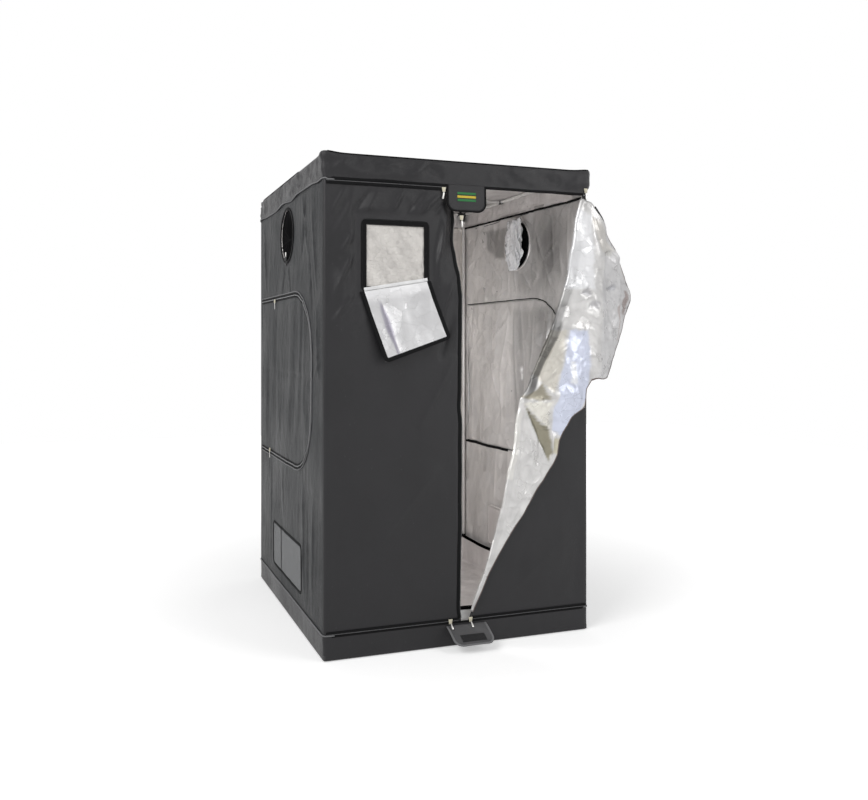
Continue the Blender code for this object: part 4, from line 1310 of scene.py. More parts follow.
def build_window():
    def relief(a, b):
        wrinkles = 0.0032 * ridges(slanted(a, b, 0.8, 26, 9, 4.0), 3)
        wrinkles += 0.0018 * ridges(slanted(a, b, 0.5, 50, 22, 7.0), 2)
        return 0.0008 * ripple(a, b, 18, 14, 4.0) - wrinkles * (0.5 + 0.5 * smooth(a - b, -2.0, -1.65))
    left, bottom, right, top = inset_box(WINDOW, 0.01)
    pane_panel = Behind(DOOR, 0.001, relief)
    pane = cloth_panel("window_film_sheet", pane_panel, stops(left, right, 0.004), stops(bottom, top, 0.004))
    give(pane, "left_door", "window_film", FILM, FILM)
    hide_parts("window_film")
    frame_path = box_outline(inset_box(WINDOW, 0.0115), 0.008)
    binding = trim("window_binding_tape", DOOR.on, frame_path, tape_section(0.023, -0.0014, 0.0026), "left_door",
                   closed=True)
    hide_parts("window_binding")
    for number, inset in enumerate((0.003, 0.0205)):
        sew(f"window_stitching_{number}", DOOR.on, box_outline(inset_box(WINDOW, inset), 0.005), 0.0029, "left_door")


# The open zip's loose end hangs from the top slider, behind the flap, and carries the centre slider
LOOSE_END = [
    (-0.100, TOP_ZIP), (-0.080, 1.876), (-0.052, 1.860), (-0.028, 1.835), (-0.014, 1.805), (-0.009, 1.78),
    (-0.008, 1.752),
]


def build_door_zips():
    trim("door_zip_tape", DOOR.on, door_edge_path(-0.008), tape_section(0.016, 0.0004, 0.0018), "left_door")
    trim("door_zip_teeth", DOOR.on, door_edge_path(0.0005), bead_section(0.0026, 0.0), "left_door", "black_plastic",
         TEETH)
    top_path = [(-0.59, TOP_ZIP), (-0.3, 1.8825), (-0.02, TOP_ZIP)]
    low_path = [(-0.59, LOW_ZIP), (-0.3, LOW_ZIP), (-0.012, LOW_ZIP)]
    for name, path, aside in (("top", top_path, 0.0068), ("bottom", low_path, -0.0042)):
        cross_zip(f"door_{name}", DOOR.on, path, [(a, b + aside) for a, b in path], "left_door")
    trim("loose_zip_tape", lambda a, b, out: Vector((a, -0.6023 - out, b)), LOOSE_END, tape_section(0.012, 0.0, 0.0014),
         "left_door", step=0.004)


def door_edge_path(inset):
    path = []
    for step in range(61):
        b = 0.112 + (1.884 - 0.112) * step / 60
        path.append((between(DOOR_EDGE, b) + inset, b))
    return path


def stitches(name, place, path, lift, closed):
    """A row of short raised threads."""
    points = spread_out(path, STITCH, closed)
    followers = points[1:] + points[:1] if closed else points[1:]
    bm = bmesh.new()
    flat_map = bm.loops.layers.uv.new("cloth")
    for point, following in zip(points, followers):
        run = (following - point).normalized()
        aside = Vector((run.y, -run.x)) * 0.0004
        centre = point + run * STITCH * 0.5
        half = run * STITCH * 0.34
        ends = []
        for shift, high in ((-half, 0.0), (-half * 0.7, 0.0005), (half * 0.7, 0.0005), (half, 0.0)):
            ends.append([bm.verts.new(place(*(centre + shift + side), lift + high * level))
                         for side, level in ((aside, 0.0), (aside * 0.5, 1.0), (-aside * 0.5, 1.0), (-aside, 0.0))])
        faces = [bm.faces.new(ends[0]), bm.faces.new(list(reversed(ends[-1])))]
        for low, high in zip(ends, ends[1:]):
            for side in range(4):
                after = (side + 1) % 4
                faces.append(bm.faces.new((low[side], high[side], high[after], low[after])))
        for face in faces:
            for loop in face.loops:
                loop[flat_map].uv = (loop.vert.co.x + loop.vert.co.z, 0)
    bmesh.ops.recalc_face_normals(bm, faces=bm.faces)
    return to_object(name, bm)


# Window cover, hanging from its tilted fold
class Cover:
    """a runs along the cover's fold and b down from it, both in metres."""
    tilt = math.radians(9.5)
    lean = math.radians(6)
    outward = Vector((0, -1, 0))
    start = Vector((WINDOW[0], WINDOW[1]))
    fold = Vector((math.cos(tilt), math.sin(tilt)))
    level_wide, deep = 0.294, 0.292
    wide = level_wide / math.cos(tilt)

    @classmethod
    def corner(cls, spot):
        away = spot - cls.start
        return cls.start + 2 * away.dot(cls.fold) * cls.fold - away

    @classmethod
    def on(cls, a, b, out=0.0):
        low_left = cls.corner(cls.start + Vector((0, cls.deep)))
        low_right = cls.corner(cls.start + Vector((cls.level_wide, cls.deep)))
        fold_end = cls.start + cls.fold * cls.wide
        across, down = a / cls.wide, b / cls.deep
        flat = cls.start.lerp(fold_end, across).lerp(low_left.lerp(low_right, across), down)
        wave = 0.002 * smooth(down, 0.0, 0.12) + 0.0045 * smooth(down, 0.14, 0.32)
        wave += 0.004 * math.sin(math.pi * down) * math.sin(math.pi * across)
        wave -= smooth(down, 0.0, 0.25) * (0.0015 * ripple(a, b, 9, 9, 3.3) + 0.0008 * ripple(a, b, 30, 30, 13.3))
        wave -= crease(a, b, (0.066, 0.05), (0.066, 0.28), 0.008, 0.005)
        depth = cls.deep * math.sin(cls.lean)
        curl = 0.002 * smooth(down, 0.85, 1.0)
        return Vector((flat.x, -0.6056 - depth * down + wave - curl - out, flat.y))


def cover_tone_and_painted_light(a, b):
    """The cover is painted brightest along its fold and at one spot, with random tone, and one long crease of it, which
    faces the dark cloth, is painted darker.
    """
    middle = 0.062 + 0.003 * ripple(a, b, 0, 20, 1.0)
    wide = 0.006 + 0.013 * math.sin(math.pi * smooth(b, 0.03, 0.28))
    dark = (1 - smooth(abs(a - middle), wide * 0.4, wide)) * smooth(b, 0.04, 0.08)
    tone_with_painted_light = 1.0 + 0.32 * (1 - smooth(b, 0.01, 0.06)) + 0.25 * spot_at(a, b, 0.155, 0.14, 0.012, 0.03)
    tone_with_painted_light += 0.08 * ripple(a, b, 14, 9, 3.0)
    return tone_with_painted_light * (1 - 0.45 * dark), tone_with_painted_light * (0.995 - 0.47 * dark), tone_with_painted_light * (0.99 - 0.38 * dark)


def build_cover():
    columns, rows = stops(0, Cover.wide, FINE_CELL), stops(0, Cover.deep, FINE_CELL)
    cover = cloth_panel("window_cover_cloth", Cover, columns, rows, tone_with_painted_light=cover_tone_and_painted_light)
    give(cover, "window_cover", "silver_lining", COVER, OUTER)
    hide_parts("window_cover")
    low, high = Cover.start + Cover.fold * 0.012, Cover.start + Cover.fold * (Cover.wide - 0.008)
    root_path = [low.lerp(high, step / 12) + Vector((0, 0.008)) for step in range(13)]
    trim("window_cover_root", DOOR.on, root_path, tape_section(0.014, 0.0020, 0.0032), "left_door", "silver_lining",
         ROOT_SILVER, step=0.006)
    wide, deep = Cover.wide - 0.004, Cover.deep - 0.002
    rim_path = [
        (0.004, 0.0), (0.004, deep - 0.006), (0.010, deep), (wide - 0.006, deep), (wide, deep - 0.006), (wide, 0.0),
    ]
    trim("window_cover_rim", Cover.on, rim_path, tape_section(0.017, -0.0026, 0.0014), "window_cover")
    seam_path = [(0.0105, 0.002), (0.0105, deep - 0.0065), (wide - 0.0065, deep - 0.0065), (wide - 0.0065, 0.002)]
    sew("window_cover_stitching", Cover.on, seam_path, 0.0008, "window_cover", closed=False)


# Right door half
FOLD_ALONG = (FOLD_END - FOLD_START).normalized()
FOLD_ACROSS = Vector((FOLD_ALONG.y, -FOLD_ALONG.x))
FOLD_LENGTH = (FOLD_END - FOLD_START).length
CORNER_ALONG = (FOLD_END.y - FOLD_START.y) * FOLD_ALONG.y
CORNER_ACROSS = (FOLD_END.y - FOLD_START.y) * FOLD_ALONG.x
# Along the fold: how far it strays from its straight line, and the free edge's share of the cloth's whole width
FOLD_SHIFT = [
    (-0.1, 0.018), (0.075, 0.022), (0.227, 0.034), (0.471, 0.029), (0.71, 0.006), (0.90, -0.026), (0.945, -0.032),
    (1.01, -0.012), (1.328, 0.018), (1.492, 0.019), (1.632, 0.0), (1.80, -0.024), (1.95, -0.03),
]
FREE_EDGE = [
    (0.0, 0.3), (0.07, 0.25), (0.214, 0.22), (0.329, 0.485), (0.406, 0.615), (0.587, 0.81), (0.653, 0.90),
    (0.778, 0.95), (0.838, 0.90), (0.848, 0.90), (1.007, 0.955), (1.04, 0.90), (1.082, 0.81), (1.167, 0.79),
    (1.232, 0.935), (1.332, 0.905), (1.576, 0.912), (1.671, 0.88), (1.716, 0.86), (1.79, 1.15), (1.83, 1.0),
    (1.85, 0.7), (1.87, 0.4),
]
FOLD_CREASES = [
    ((1.85, 0.0), (1.83, 0.033), 0.006, 0.008), ((1.83, 0.033), (1.78, 0.055), 0.006, 0.008),
    ((1.78, 0.055), (1.62, 0.112), 0.008, 0.010), ((1.48, 0.115), (1.62, 0.10), 0.006, 0.007),
    ((1.48, 0.115), (1.42, 0.07), 0.006, 0.007), ((1.48, 0.115), (1.44, 0.17), 0.006, 0.007),
    ((1.48, 0.115), (1.56, 0.05), 0.006, -0.006), ((1.48, 0.115), (1.40, 0.13), 0.005, -0.006),
    ((0.94, 0.0), (1.18, 0.10), 0.012, 0.010), ((0.94, 0.0), (1.06, 0.20), 0.010, 0.011),
    ((0.94, 0.0), (0.78, 0.14), 0.010, 0.010), ((0.94, 0.0), (0.66, 0.10), 0.010, 0.008),
    ((0.93, 0.02), (0.86, 0.19), 0.014, -0.012), ((0.99, 0.09), (0.70, 0.11), 0.008, -0.008),
    ((0.72, 0.184), (0.98, 0.10), 0.007, 0.009), ((1.30, 0.02), (1.34, 0.20), 0.010, 0.008),
    ((1.22, 0.03), (1.02, 0.25), 0.010, 0.010), ((1.36, 0.12), (1.10, 0.22), 0.010, -0.008),
    ((1.40, 0.20), (1.20, 0.35), 0.012, 0.010), ((1.55, 0.18), (1.34, 0.38), 0.012, 0.010),
    ((1.62, 0.22), (1.66, 0.50), 0.012, 0.011), ((1.72, 0.18), (1.70, 0.42), 0.010, -0.008),
    ((1.58, 0.30), (1.60, 0.46), 0.010, 0.008), ((0.30, 0.02), (0.62, 0.13), 0.010, 0.006),
    ((0.50, 0.03), (0.70, 0.17), 0.010, 0.007), ((1.75, 0.10), (1.78, 0.30), 0.008, 0.008),
    ((0.60, 0.02), (0.90, 0.03), 0.007, -0.006), ((1.02, 0.03), (1.28, 0.035), 0.008, -0.007),
]
# The flat facets between the sharp creases: their corners, how far they sink, and their painted light: painted
# reflection of the warm or cool surroundings each one faces, and painted shade in the deep pockets
FACETS = [
    ([(1.81, 0.051), (1.83, 0.213), (1.671, 0.52), (1.232, 0.36), (1.127, 0.25), (1.381, 0.196)], 0.0,
     (0.88, 0.87, 0.87)),
    ([(1.80, 0.047), (1.815, 0.072), (1.795, 0.25), (1.696, 0.109)], 0.003, (0.86, 0.83, 0.78)),
    ([(1.82, -0.02), (1.80, 0.055), (1.506, 0.117), (1.451, -0.02)], 0.0, (1.18, 1.18, 1.19)),
    ([(1.297, 0.055), (1.132, 0.097), (0.863, 0.155), (0.848, 0.23), (1.077, 0.27), (1.327, 0.146)], 0.0,
     (0.92, 0.97, 1.14)),
    ([(1.182, 0.113), (1.177, 0.142), (1.087, 0.201), (1.082, 0.163)], -0.003, (1.2, 1.22, 1.26)),
    ([(1.267, -0.02), (1.292, 0.051), (1.132, 0.097), (1.002, 0.113), (1.042, 0.038), (1.062, -0.02)], 0.002,
     (0.92, 0.88, 0.79)),
    ([(0.948, -0.012), (1.042, 0.038), (0.982, 0.117)], 0.010, (0.52, 0.48, 0.38)),
    ([(0.938, -0.008), (0.982, 0.121), (0.863, 0.155)], -0.004, (1.15, 1.12, 1.02)),
    ([(0.923, 0.009), (0.863, 0.155), (0.778, 0.178), (0.733, 0.160)], 0.020, (0.42, 0.39, 0.29)),
    ([(0.840, 0.176), (0.846, 0.215), (0.778, 0.205), (0.778, 0.176)], 0.008, (0.85, 0.80, 0.62)),
    ([(1.461, 0.055), (1.506, 0.088), (1.481, 0.117), (1.461, 0.101)], 0.005, (0.62, 0.61, 0.62)),
    ([(1.411, 0.109), (1.471, 0.130), (1.486, 0.151), (1.436, 0.151)], 0.004, (0.72, 0.71, 0.72)),
    ([(1.706, 0.121), (1.785, 0.213), (1.760, 0.226)], 0.003, (0.66, 0.65, 0.62)),
    ([(1.606, 0.217), (1.656, 0.259), (1.641, 0.280), (1.606, 0.246)], 0.004, (0.60, 0.60, 0.62)),
    ([(1.576, 0.325), (1.596, 0.374), (1.436, 0.392), (1.421, 0.364)], 0.003, (0.58, 0.50, 0.48)),
    ([(1.686, 0.412), (1.676, 0.449), (1.571, 0.452), (1.566, 0.404)], 0.003, (0.52, 0.44, 0.42)),
    ([(0.893, -0.02), (0.888, 0.006), (0.608, 0.012), (0.608, -0.02)], -0.003, (1.12, 1.10, 1.05)),
]


def straight_table(table, value):
    """The value of a table at a place, in straight runs from pair to pair."""
    for (low, start), (high, end) in zip(table, table[1:]):
        if value <= high:
            return start + (end - start) * max(0, (value - low) / (high - low))
    return table[-1][1]


def fold_width(distance):
    """How wide the folded cloth is at a distance along the fold."""
    if distance < CORNER_ALONG:
        share = distance / CORNER_ALONG
    else:
        share = (FOLD_LENGTH - distance) / (FOLD_LENGTH - CORNER_ALONG)
    gathered = 1 - 0.22 * (1 - min(1, distance / CORNER_ALONG) ** 2.5)
    return max(0.012, CORNER_ACROSS * share * gathered * straight_table(FREE_EDGE, distance))


def fold_relief(distance, out):
    fade = 1 - math.exp(-out / 0.02)
    phase = math.tau * (out + 0.9 * (distance - CORNER_ALONG) * out) / 0.19
    lift = 0.016 * fade * (1 - math.cos(phase)) / 2
    lift += fade * (0.009 * slanted(distance, out, 0.25, 6, 10, 4.0) + 0.004 * ripple(distance, out, 16, 20, 9.0))
    lift += fade * 0.0016 * ripple(distance, out, 45, 50, 19.0)
    patchy = smooth(ripple(distance, out, 7, 9, 1.1), -0.4, 0.4)
    lift += fade * 0.0045 * ridges(ripple(distance + 0.4 * out, out, 11, 12, 2.5)) * patchy
    lift += fade * 0.0035 * ridges(slanted(distance, out, -0.8, 12, 7, 8.5), 5)
    lift += creases_at(FOLD_CREASES, distance, out)
    for corners, sink, _ in FACETS:
        lift -= fade * sink * smooth(inside_facet(corners, distance, out), -0.004, 0.012)
    from_edge = fold_width(distance) - out
    lift *= 0.45 + 0.55 * smooth(from_edge, 0.0, 0.08)
    return max(lift, -0.012 * fade)


class Folded:
    """The folded half: a is the distance along the fold and b the distance out from it."""

    @staticmethod
    def spot(distance, out, lift):
        flat = FOLD_START + FOLD_ALONG * distance + FOLD_ACROSS * (out + between(FOLD_SHIFT, distance))
        beyond = flat.x - HALF
        if beyond <= 0:
            return Vector((flat.x, FOLD_HINGE_Y - lift, flat.y))
        wrap, radius = math.radians(34), 0.1
        turned = min(beyond, radius * wrap) / radius
        straight = max(0, beyond - radius * wrap)
        x = HALF + radius * math.sin(turned) + straight * math.cos(turned) + lift * math.sin(turned)
        y = FOLD_HINGE_Y + radius * (1 - math.cos(turned)) + straight * math.sin(turned) - lift * math.cos(turned)
        return Vector((x, y, flat.y - 0.07 * (1 - math.exp(-beyond / 0.06))))

    @classmethod
    def on(cls, distance, out, lift=0.0):
        return cls.spot(distance, out, cls.roll(distance) * 2 + fold_relief(distance, out) + lift)

    @staticmethod
    def roll(distance):
        thick = 0.008 + 0.004 * smooth(distance, 0.2, 0.7) + 0.003 * ripple(distance, 0, 7, 1, 2.0)
        return thick * smooth(distance, 0.0, 0.15)


# Random mottle, painted reflection and painted shade on the facets, and painted shade along the roll
def fold_mottle_and_painted_light(distance, out):
    mottle = 1 + 0.10 * ripple(distance, out, 26, 30, 3.3) - 0.12 * ridges(ripple(distance, out, 13, 15, 9.1))
    painted_light = Vector((1.0, 0.985, 0.965)) * mottle
    sway = 0.006 * ripple(distance, out, 30, 34, 6.0)
    for corners, _, colour in FACETS:
        painted_light = painted_light.lerp(Vector(colour), smooth(inside_facet(corners, distance, out) + sway, -0.003, 0.006))
    # Painted shade beside the roll, strongest part way along the fold
    wide = 0.012 + 0.009 * smooth(distance, 1.0, 1.3)
    roll_shade = 1 - smooth(out + 0.004 * ripple(distance, 0, 14, 1, 5.0), wide, wide + 0.008)
    deep = 0.08 + 0.70 * smooth(distance, 0.92, 1.02) * (1 - 0.9 * smooth(distance, 1.24, 1.56))
    deep += 0.06 * ripple(distance, 0, 30, 1, 2.0)
    return painted_light * (1 - roll_shade * deep)


def folded_mesh(start, end):
    """Half a roll along the fold, and from there the cloth out to its free edge."""
    bm, flat_map, painted_light_layer = new_cloth()
    rows, columns, turns = 200, 58, 8
    grid = []
    for row in range(rows + 1):
        distance = start + (end - start) * row / rows
        roll = Folded.roll(distance)
        wide = fold_width(distance)
        line = []
        for step in range(turns):
            angle = -math.pi / 2 + math.pi * step / turns
            aside = -roll * math.cos(angle)
            vert = bm.verts.new(Folded.spot(distance, aside, 0.0008 + roll * (1 + math.sin(angle))))
            vert[painted_light_layer] = (*(fold_mottle_and_painted_light(distance, 0.0)), 1)
            line.append((vert, (distance, aside * 1.5)))
        for column in range(columns + 1):
            out = wide * column / columns
            vert = bm.verts.new(Folded.on(distance, out))
            vert[painted_light_layer] = (*(fold_mottle_and_painted_light(distance, out)), 1)
            line.append((vert, (distance, out)))
        grid.append(line)
    join_rows(bm, flat_map, grid)
    face_outward(bm, Vector((0, -1, 0)))
    return bm


def build_folded_door():
    start, end, split_end, top_start = 0.045, FOLD_LENGTH - 0.032, 1.834, 1.838
    cloth = line_with(to_object("right_door_folded_cloth", folded_mesh(start, end)))
    give(cloth, "right_door", "silver_lining", FOLDED, OUTER)
    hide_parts("right_door_folded")

    split_stops = [start + (split_end - start) * step / 100 for step in range(101)]
    top_stops = [top_start + (end - top_start) * step / 12 for step in range(13)]
    split_path = [(at, fold_width(at) - 0.002) for at in split_stops]
    top_path = [(at, fold_width(at) - 0.004) for at in top_stops]
    for name, path, wide, finish_used in (("split", split_path, 0.004, EDGING), ("top", top_path, 0.012, BINDING)):
        trim(f"folded_{name}_zip_tape", Folded.on, path, tape_section(wide, -0.0018, 0.0012), "right_door",
             finish=finish_used, step=0.006)
    trim("folded_top_zip_teeth", Folded.on, [(at, out + 0.003) for at, out in top_path], bead_section(0.0024, 0.0016),
         "right_door", "black_plastic", TEETH)


def below_fold(a, b):
    """Less than zero on the side of the fold where the lower half is cut away."""
    away = Vector((a, b)) - FOLD_START
    return away.dot(FOLD_ACROSS) - between(FOLD_SHIFT, away.dot(FOLD_ALONG)) - 0.004


def build_lower_door():
    columns = stops(0.0, HALF, CELL, turn_end=True)
    lower = cloth_panel("right_door_lower_cloth", LOWER, columns, wall_rows(), [below_fold], reach=CELL * 0.6)
    give(lower, "root", "outer_cloth", OUTER, LINING)
    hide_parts("right_door_lower")
    tape_path, teeth_path = [[(start, b), (0.3, b), (0.59, b)] for start, b in ((0.045, LOW_ZIP), (0.03, 0.1043))]
    cross_zip("lower", LOWER.on, tape_path, teeth_path, "root")


# Storm flaps: b runs down from the hinge line
class Flap:
    half = 0.089
    length = 0.112
    corner = 0.038

    def __init__(self, hinge, droop, relief):
        self.hinge = Vector(hinge)
        self.down = Vector((0, -math.cos(droop), -math.sin(droop)))
        self.outward = Vector((0, -math.sin(droop), math.cos(droop)))
        self.relief = relief

    def flat(self, a, b, out=0.0):
        return self.hinge + Vector((a, 0, 0)) + self.down * b + self.outward * out

    def on(self, a, b, out=0.0):
        return self.flat(a, b, self.relief(a, b) + out)


# The flap's outline: square along its hinge, with two round lower corners
FLAP_HOLE = box_hole((-Flap.half, -0.2, Flap.half, Flap.length), Flap.corner, Flap.corner)


def flap_edge(inset):
    """The path down one side of the flap, round its lower corners and up the other side."""
    half, low, radius = Flap.half - inset, Flap.length - inset, Flap.corner - inset
    path = [(-half, 0.002)]
    for sign in (-1, 1):
        for step in range(9):
            turn = math.pi / 2 * step / 8
            if sign < 0:
                path.append((-half + radius - radius * math.cos(turn), low - radius + radius * math.sin(turn)))
            else:
                path.append((half - radius + radius * math.sin(turn), low - radius + radius * math.cos(turn)))
    path.append((half, 0.002))
    return path


def build_flap(node, flap, cloth, rim_cloth):
    columns, rows = stops(-Flap.half, Flap.half, FINE_CELL), stops(0.0, Flap.length, FINE_CELL)
    sheet = cloth_panel(f"{node}_cloth", flap, columns, rows, [outside_of(FLAP_HOLE)])
    give(sheet, node, "outer_cloth", cloth, cloth)
    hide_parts(node)
    trim(f"{node}_rim", flap.on, flap_edge(0.0035), tape_section(0.009, -0.0024, 0.0014), node, "outer_cloth",
         rim_cloth, step=0.005)
    sew(f"{node}_stitching", flap.on, flap_edge(0.0065), 0.0016, node, closed=False)


def build_flaps():
    def hanging(a, b):
        free = smooth(b, 0.01, 0.1)
        return 0.0054 + free * (0.002 + 0.0015 * ripple(a, b, 16, 10, 3.0))
    top = Flap((0.015, -HALF, 1.903), math.pi / 2, hanging)
    build_flap("top_storm_flap", top, OUTER, BINDING)
    for number, (finish_used, at) in enumerate(((GREEN, 0.036), (YELLOW, 0.050), (GREEN, 0.064))):
        trim(f"flap_stripe_{number}", top.on, [(-0.042, at), (0.0, at), (0.042, at)],
             tape_section(0.0095, 0.0002, 0.0012), "top_storm_flap", "outer_cloth", finish_used, step=0.005)

    def drooping(a, b):
        free = smooth(b, 0.01, 0.1)
        sway = 0.002 * ripple(a, b, 14, 10, 6.0) - 0.003 * (a / Flap.half) ** 2
        return free * sway - 0.004 * smooth(b, 0.06, 0.112)
    low = Flap((0.015, -0.60135, 0.086), math.radians(24), drooping)
    build_flap("bottom_storm_flap", low, FLAP, PIPING)
    columns, rows = stops(-0.0535, 0.0535, FINE_CELL), stops(0.059, 0.094, FINE_CELL)
    patch = cloth_panel("hook_patch_pad", Behind(low, -0.002, drooping), columns, rows)
    give(patch, "bottom_storm_flap", "hook_patch", HOOKS, HOOKS)
    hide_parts("bottom_flap_hook_patch")
    patch_path = box_outline((-0.0515, 0.061, 0.0515, 0.092), 0.001)
    sew("hook_patch_stitching", low.on, patch_path, 0.0022, "bottom_storm_flap")


# Rigid pieces, each shaped in edit mode from a primitive
def add_cube(name, size, place, soften, turn=(0, 0, 0)):
    bpy.ops.object.select_all(action="DESELECT")
    bpy.ops.mesh.primitive_cube_add(size=1, location=place, rotation=turn, scale=size)
    return shaped(name, soften)


def add_cylinder(name, radius, depth, place, turn, soften, sides=32):
    bpy.ops.object.select_all(action="DESELECT")
    bpy.ops.mesh.primitive_cylinder_add(vertices=sides, radius=radius, depth=depth, location=place, rotation=turn)
    return shaped(name, soften, math.radians(40))


def shaped(name, soften, limit=math.radians(30)):
    made = bpy.context.active_object
    made.name = made.data.name = name
    bpy.ops.object.transform_apply(location=True, rotation=True, scale=True)
    if soften:
        bpy.ops.object.mode_set(mode="EDIT")
        bpy.ops.mesh.select_all(action="SELECT")
        bpy.ops.mesh.select_mode(type="EDGE")
        bpy.ops.mesh.select_all(action="DESELECT")
        bpy.ops.mesh.edges_select_sharp(sharpness=limit)
        bpy.ops.mesh.bevel(offset=soften, segments=2, affect="EDGES")
        bpy.ops.object.mode_set(mode="OBJECT")
    bpy.ops.object.shade_smooth_by_angle(angle=math.radians(35))
    return made


def joined(name, pieces):
    bpy.ops.object.select_all(action="DESELECT")
    for piece in pieces:
        piece.select_set(True)
    bpy.context.view_layer.objects.active = pieces[0]
    bpy.ops.object.join()
    made = bpy.context.active_object
    made.name = made.data.name = name
    return made


def copied(name, source, place):
    """A copy with its own mesh, moved by a matrix and left at the origin."""
    made = source.copy()
    made.data = source.data.copy()
    made.name = made.data.name = name
    bpy.context.scene.collection.objects.link(made)
    made.data.transform(place)
    if place.determinant() < 0:
        made.data.flip_normals()
    return made


POLES = {
    f"post_{depth}_{side}": ((sx * POST, sy * POST, 0.0246), (sx * POST, sy * POST, 1.9754))
    for depth, sy in DEPTHS for side, sx in SIDEWAYS
}
POLES |= {
    f"{level}_rail_{depth}": ((-RAIL_END, sy * POST, z), (RAIL_END, sy * POST, z))
    for depth, sy in DEPTHS for level, z in (("top", TOP_RAIL), ("bottom", LOW_RAIL))
}
POLES |= {
    f"{level}_rail_{side}": ((sx * POST, -RAIL_END, z), (sx * POST, RAIL_END, z))
    for side, sx in SIDEWAYS for level, z in (("top", TOP_RAIL), ("bottom", LOW_RAIL))
}
POLES |= {
    f"crossbar_{name}": ((-0.576, y, TOP_RAIL), (0.576, y, TOP_RAIL)) for name, y in (("front", -0.2), ("back", 0.15))
}


def build_pole(name, start, end):
    """A tube with the sleeve where its two lengths push together."""
    start, end = Vector(start), Vector(end)
    run = end - start
    turn = run.to_track_quat("Z", "Y").to_euler()
    tube = add_cylinder(f"{name}_tube", 0.008, run.length, (start + end) / 2, turn, 0.0008)
    sleeve = add_cylinder(f"{name}_sleeve", 0.0086, 0.05, start.lerp(end, 0.5), turn, 0.0004)
    pole = joined(f"{name}_pole", [tube, sleeve])
    body = name if name.startswith("crossbar") else "root"
    give(pole, body, "pole_metal", POLE)
    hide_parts(name)


def build_corner():
    """A corner block with its three sockets, made once for the low front left corner."""
    block = add_cube("corner_block", (0.022, 0.022, 0.022), (0, 0, 0), 0.003)
    sockets = []
    for way in (Vector((1, 0, 0)), Vector((0, 1, 0)), Vector((0, 0, 1))):
        turn = way.to_track_quat("Z", "Y").to_euler()
        sockets.append(add_cylinder("socket", 0.0102, 0.034, way * 0.022, turn, 0.0012, 24))
        sockets.append(add_cylinder("collar", 0.0108, 0.004, way * 0.037, turn, 0.0012, 24))
    return joined("corner", [block, *sockets])


def build_frame():
    for name, (start, end) in POLES.items():
        build_pole(name, start, end)
    corner = build_corner()
    for level, z, sz in (("top", TOP_RAIL, -1), ("bottom", LOW_RAIL, 1)):
        for depth, sy in DEPTHS:
            for side, sx in SIDEWAYS:
                node = f"{level}_corner_{depth}_{side}"
                place = Matrix.Translation((sx * POST, sy * POST, z)) @ Matrix.Diagonal((-sx, -sy, sz, 1))
                block = copied(f"{node}_block", corner, place)
                give(block, "root", "black_plastic", PLASTIC)
                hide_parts(node)
    bpy.data.objects.remove(corner)


def narrowed(piece, below, share):
    """Everything of a piece below a height is scaled across, as on a zip slider's narrow end."""
    bpy.ops.object.select_all(action="DESELECT")
    piece.select_set(True)
    bpy.context.view_layer.objects.active = piece
    bpy.ops.object.mode_set(mode="EDIT")
    bpy.ops.mesh.select_mode(type="VERT")
    bpy.ops.mesh.select_all(action="DESELECT")
    bpy.ops.object.mode_set(mode="OBJECT")
    for vert in piece.data.vertices:
        vert.select = vert.co.z < below
    bpy.ops.object.mode_set(mode="EDIT")
    bpy.ops.transform.resize(value=(share, 1, 1))
    bpy.ops.object.mode_set(mode="OBJECT")
    return piece


def build_slider_template():
    """A zip slider seen from the front, hanging from the middle of its top edge, with its bridge."""
    body = narrowed(add_cube("slider_body", (0.018, 0.0036, 0.020), (0, -0.0022, -0.0090), 0.0018), -0.012, 0.7)
    bridge = add_cube("slider_bridge", (0.0060, 0.0030, 0.015), (0, -0.0048, -0.009), 0.0012)
    return body, bridge


def build_pull_template():
    """A pull that hangs down from its ring: the ring, and a tab that widens towards its end."""
    bpy.ops.object.select_all(action="DESELECT")
    bpy.ops.mesh.primitive_torus_add(major_radius=0.0030, minor_radius=0.0008, major_segments=24, minor_segments=8,
                                     location=(0, 0, -0.0028), rotation=(math.pi / 2, 0, 0))
    ring = shaped("pull_ring", 0)
    tab = narrowed(add_cube("pull_tab", (0.0056, 0.0018, 0.026), (0, 0, -0.0178), 0.0007), -0.02, 1.4)
    return ring, tab


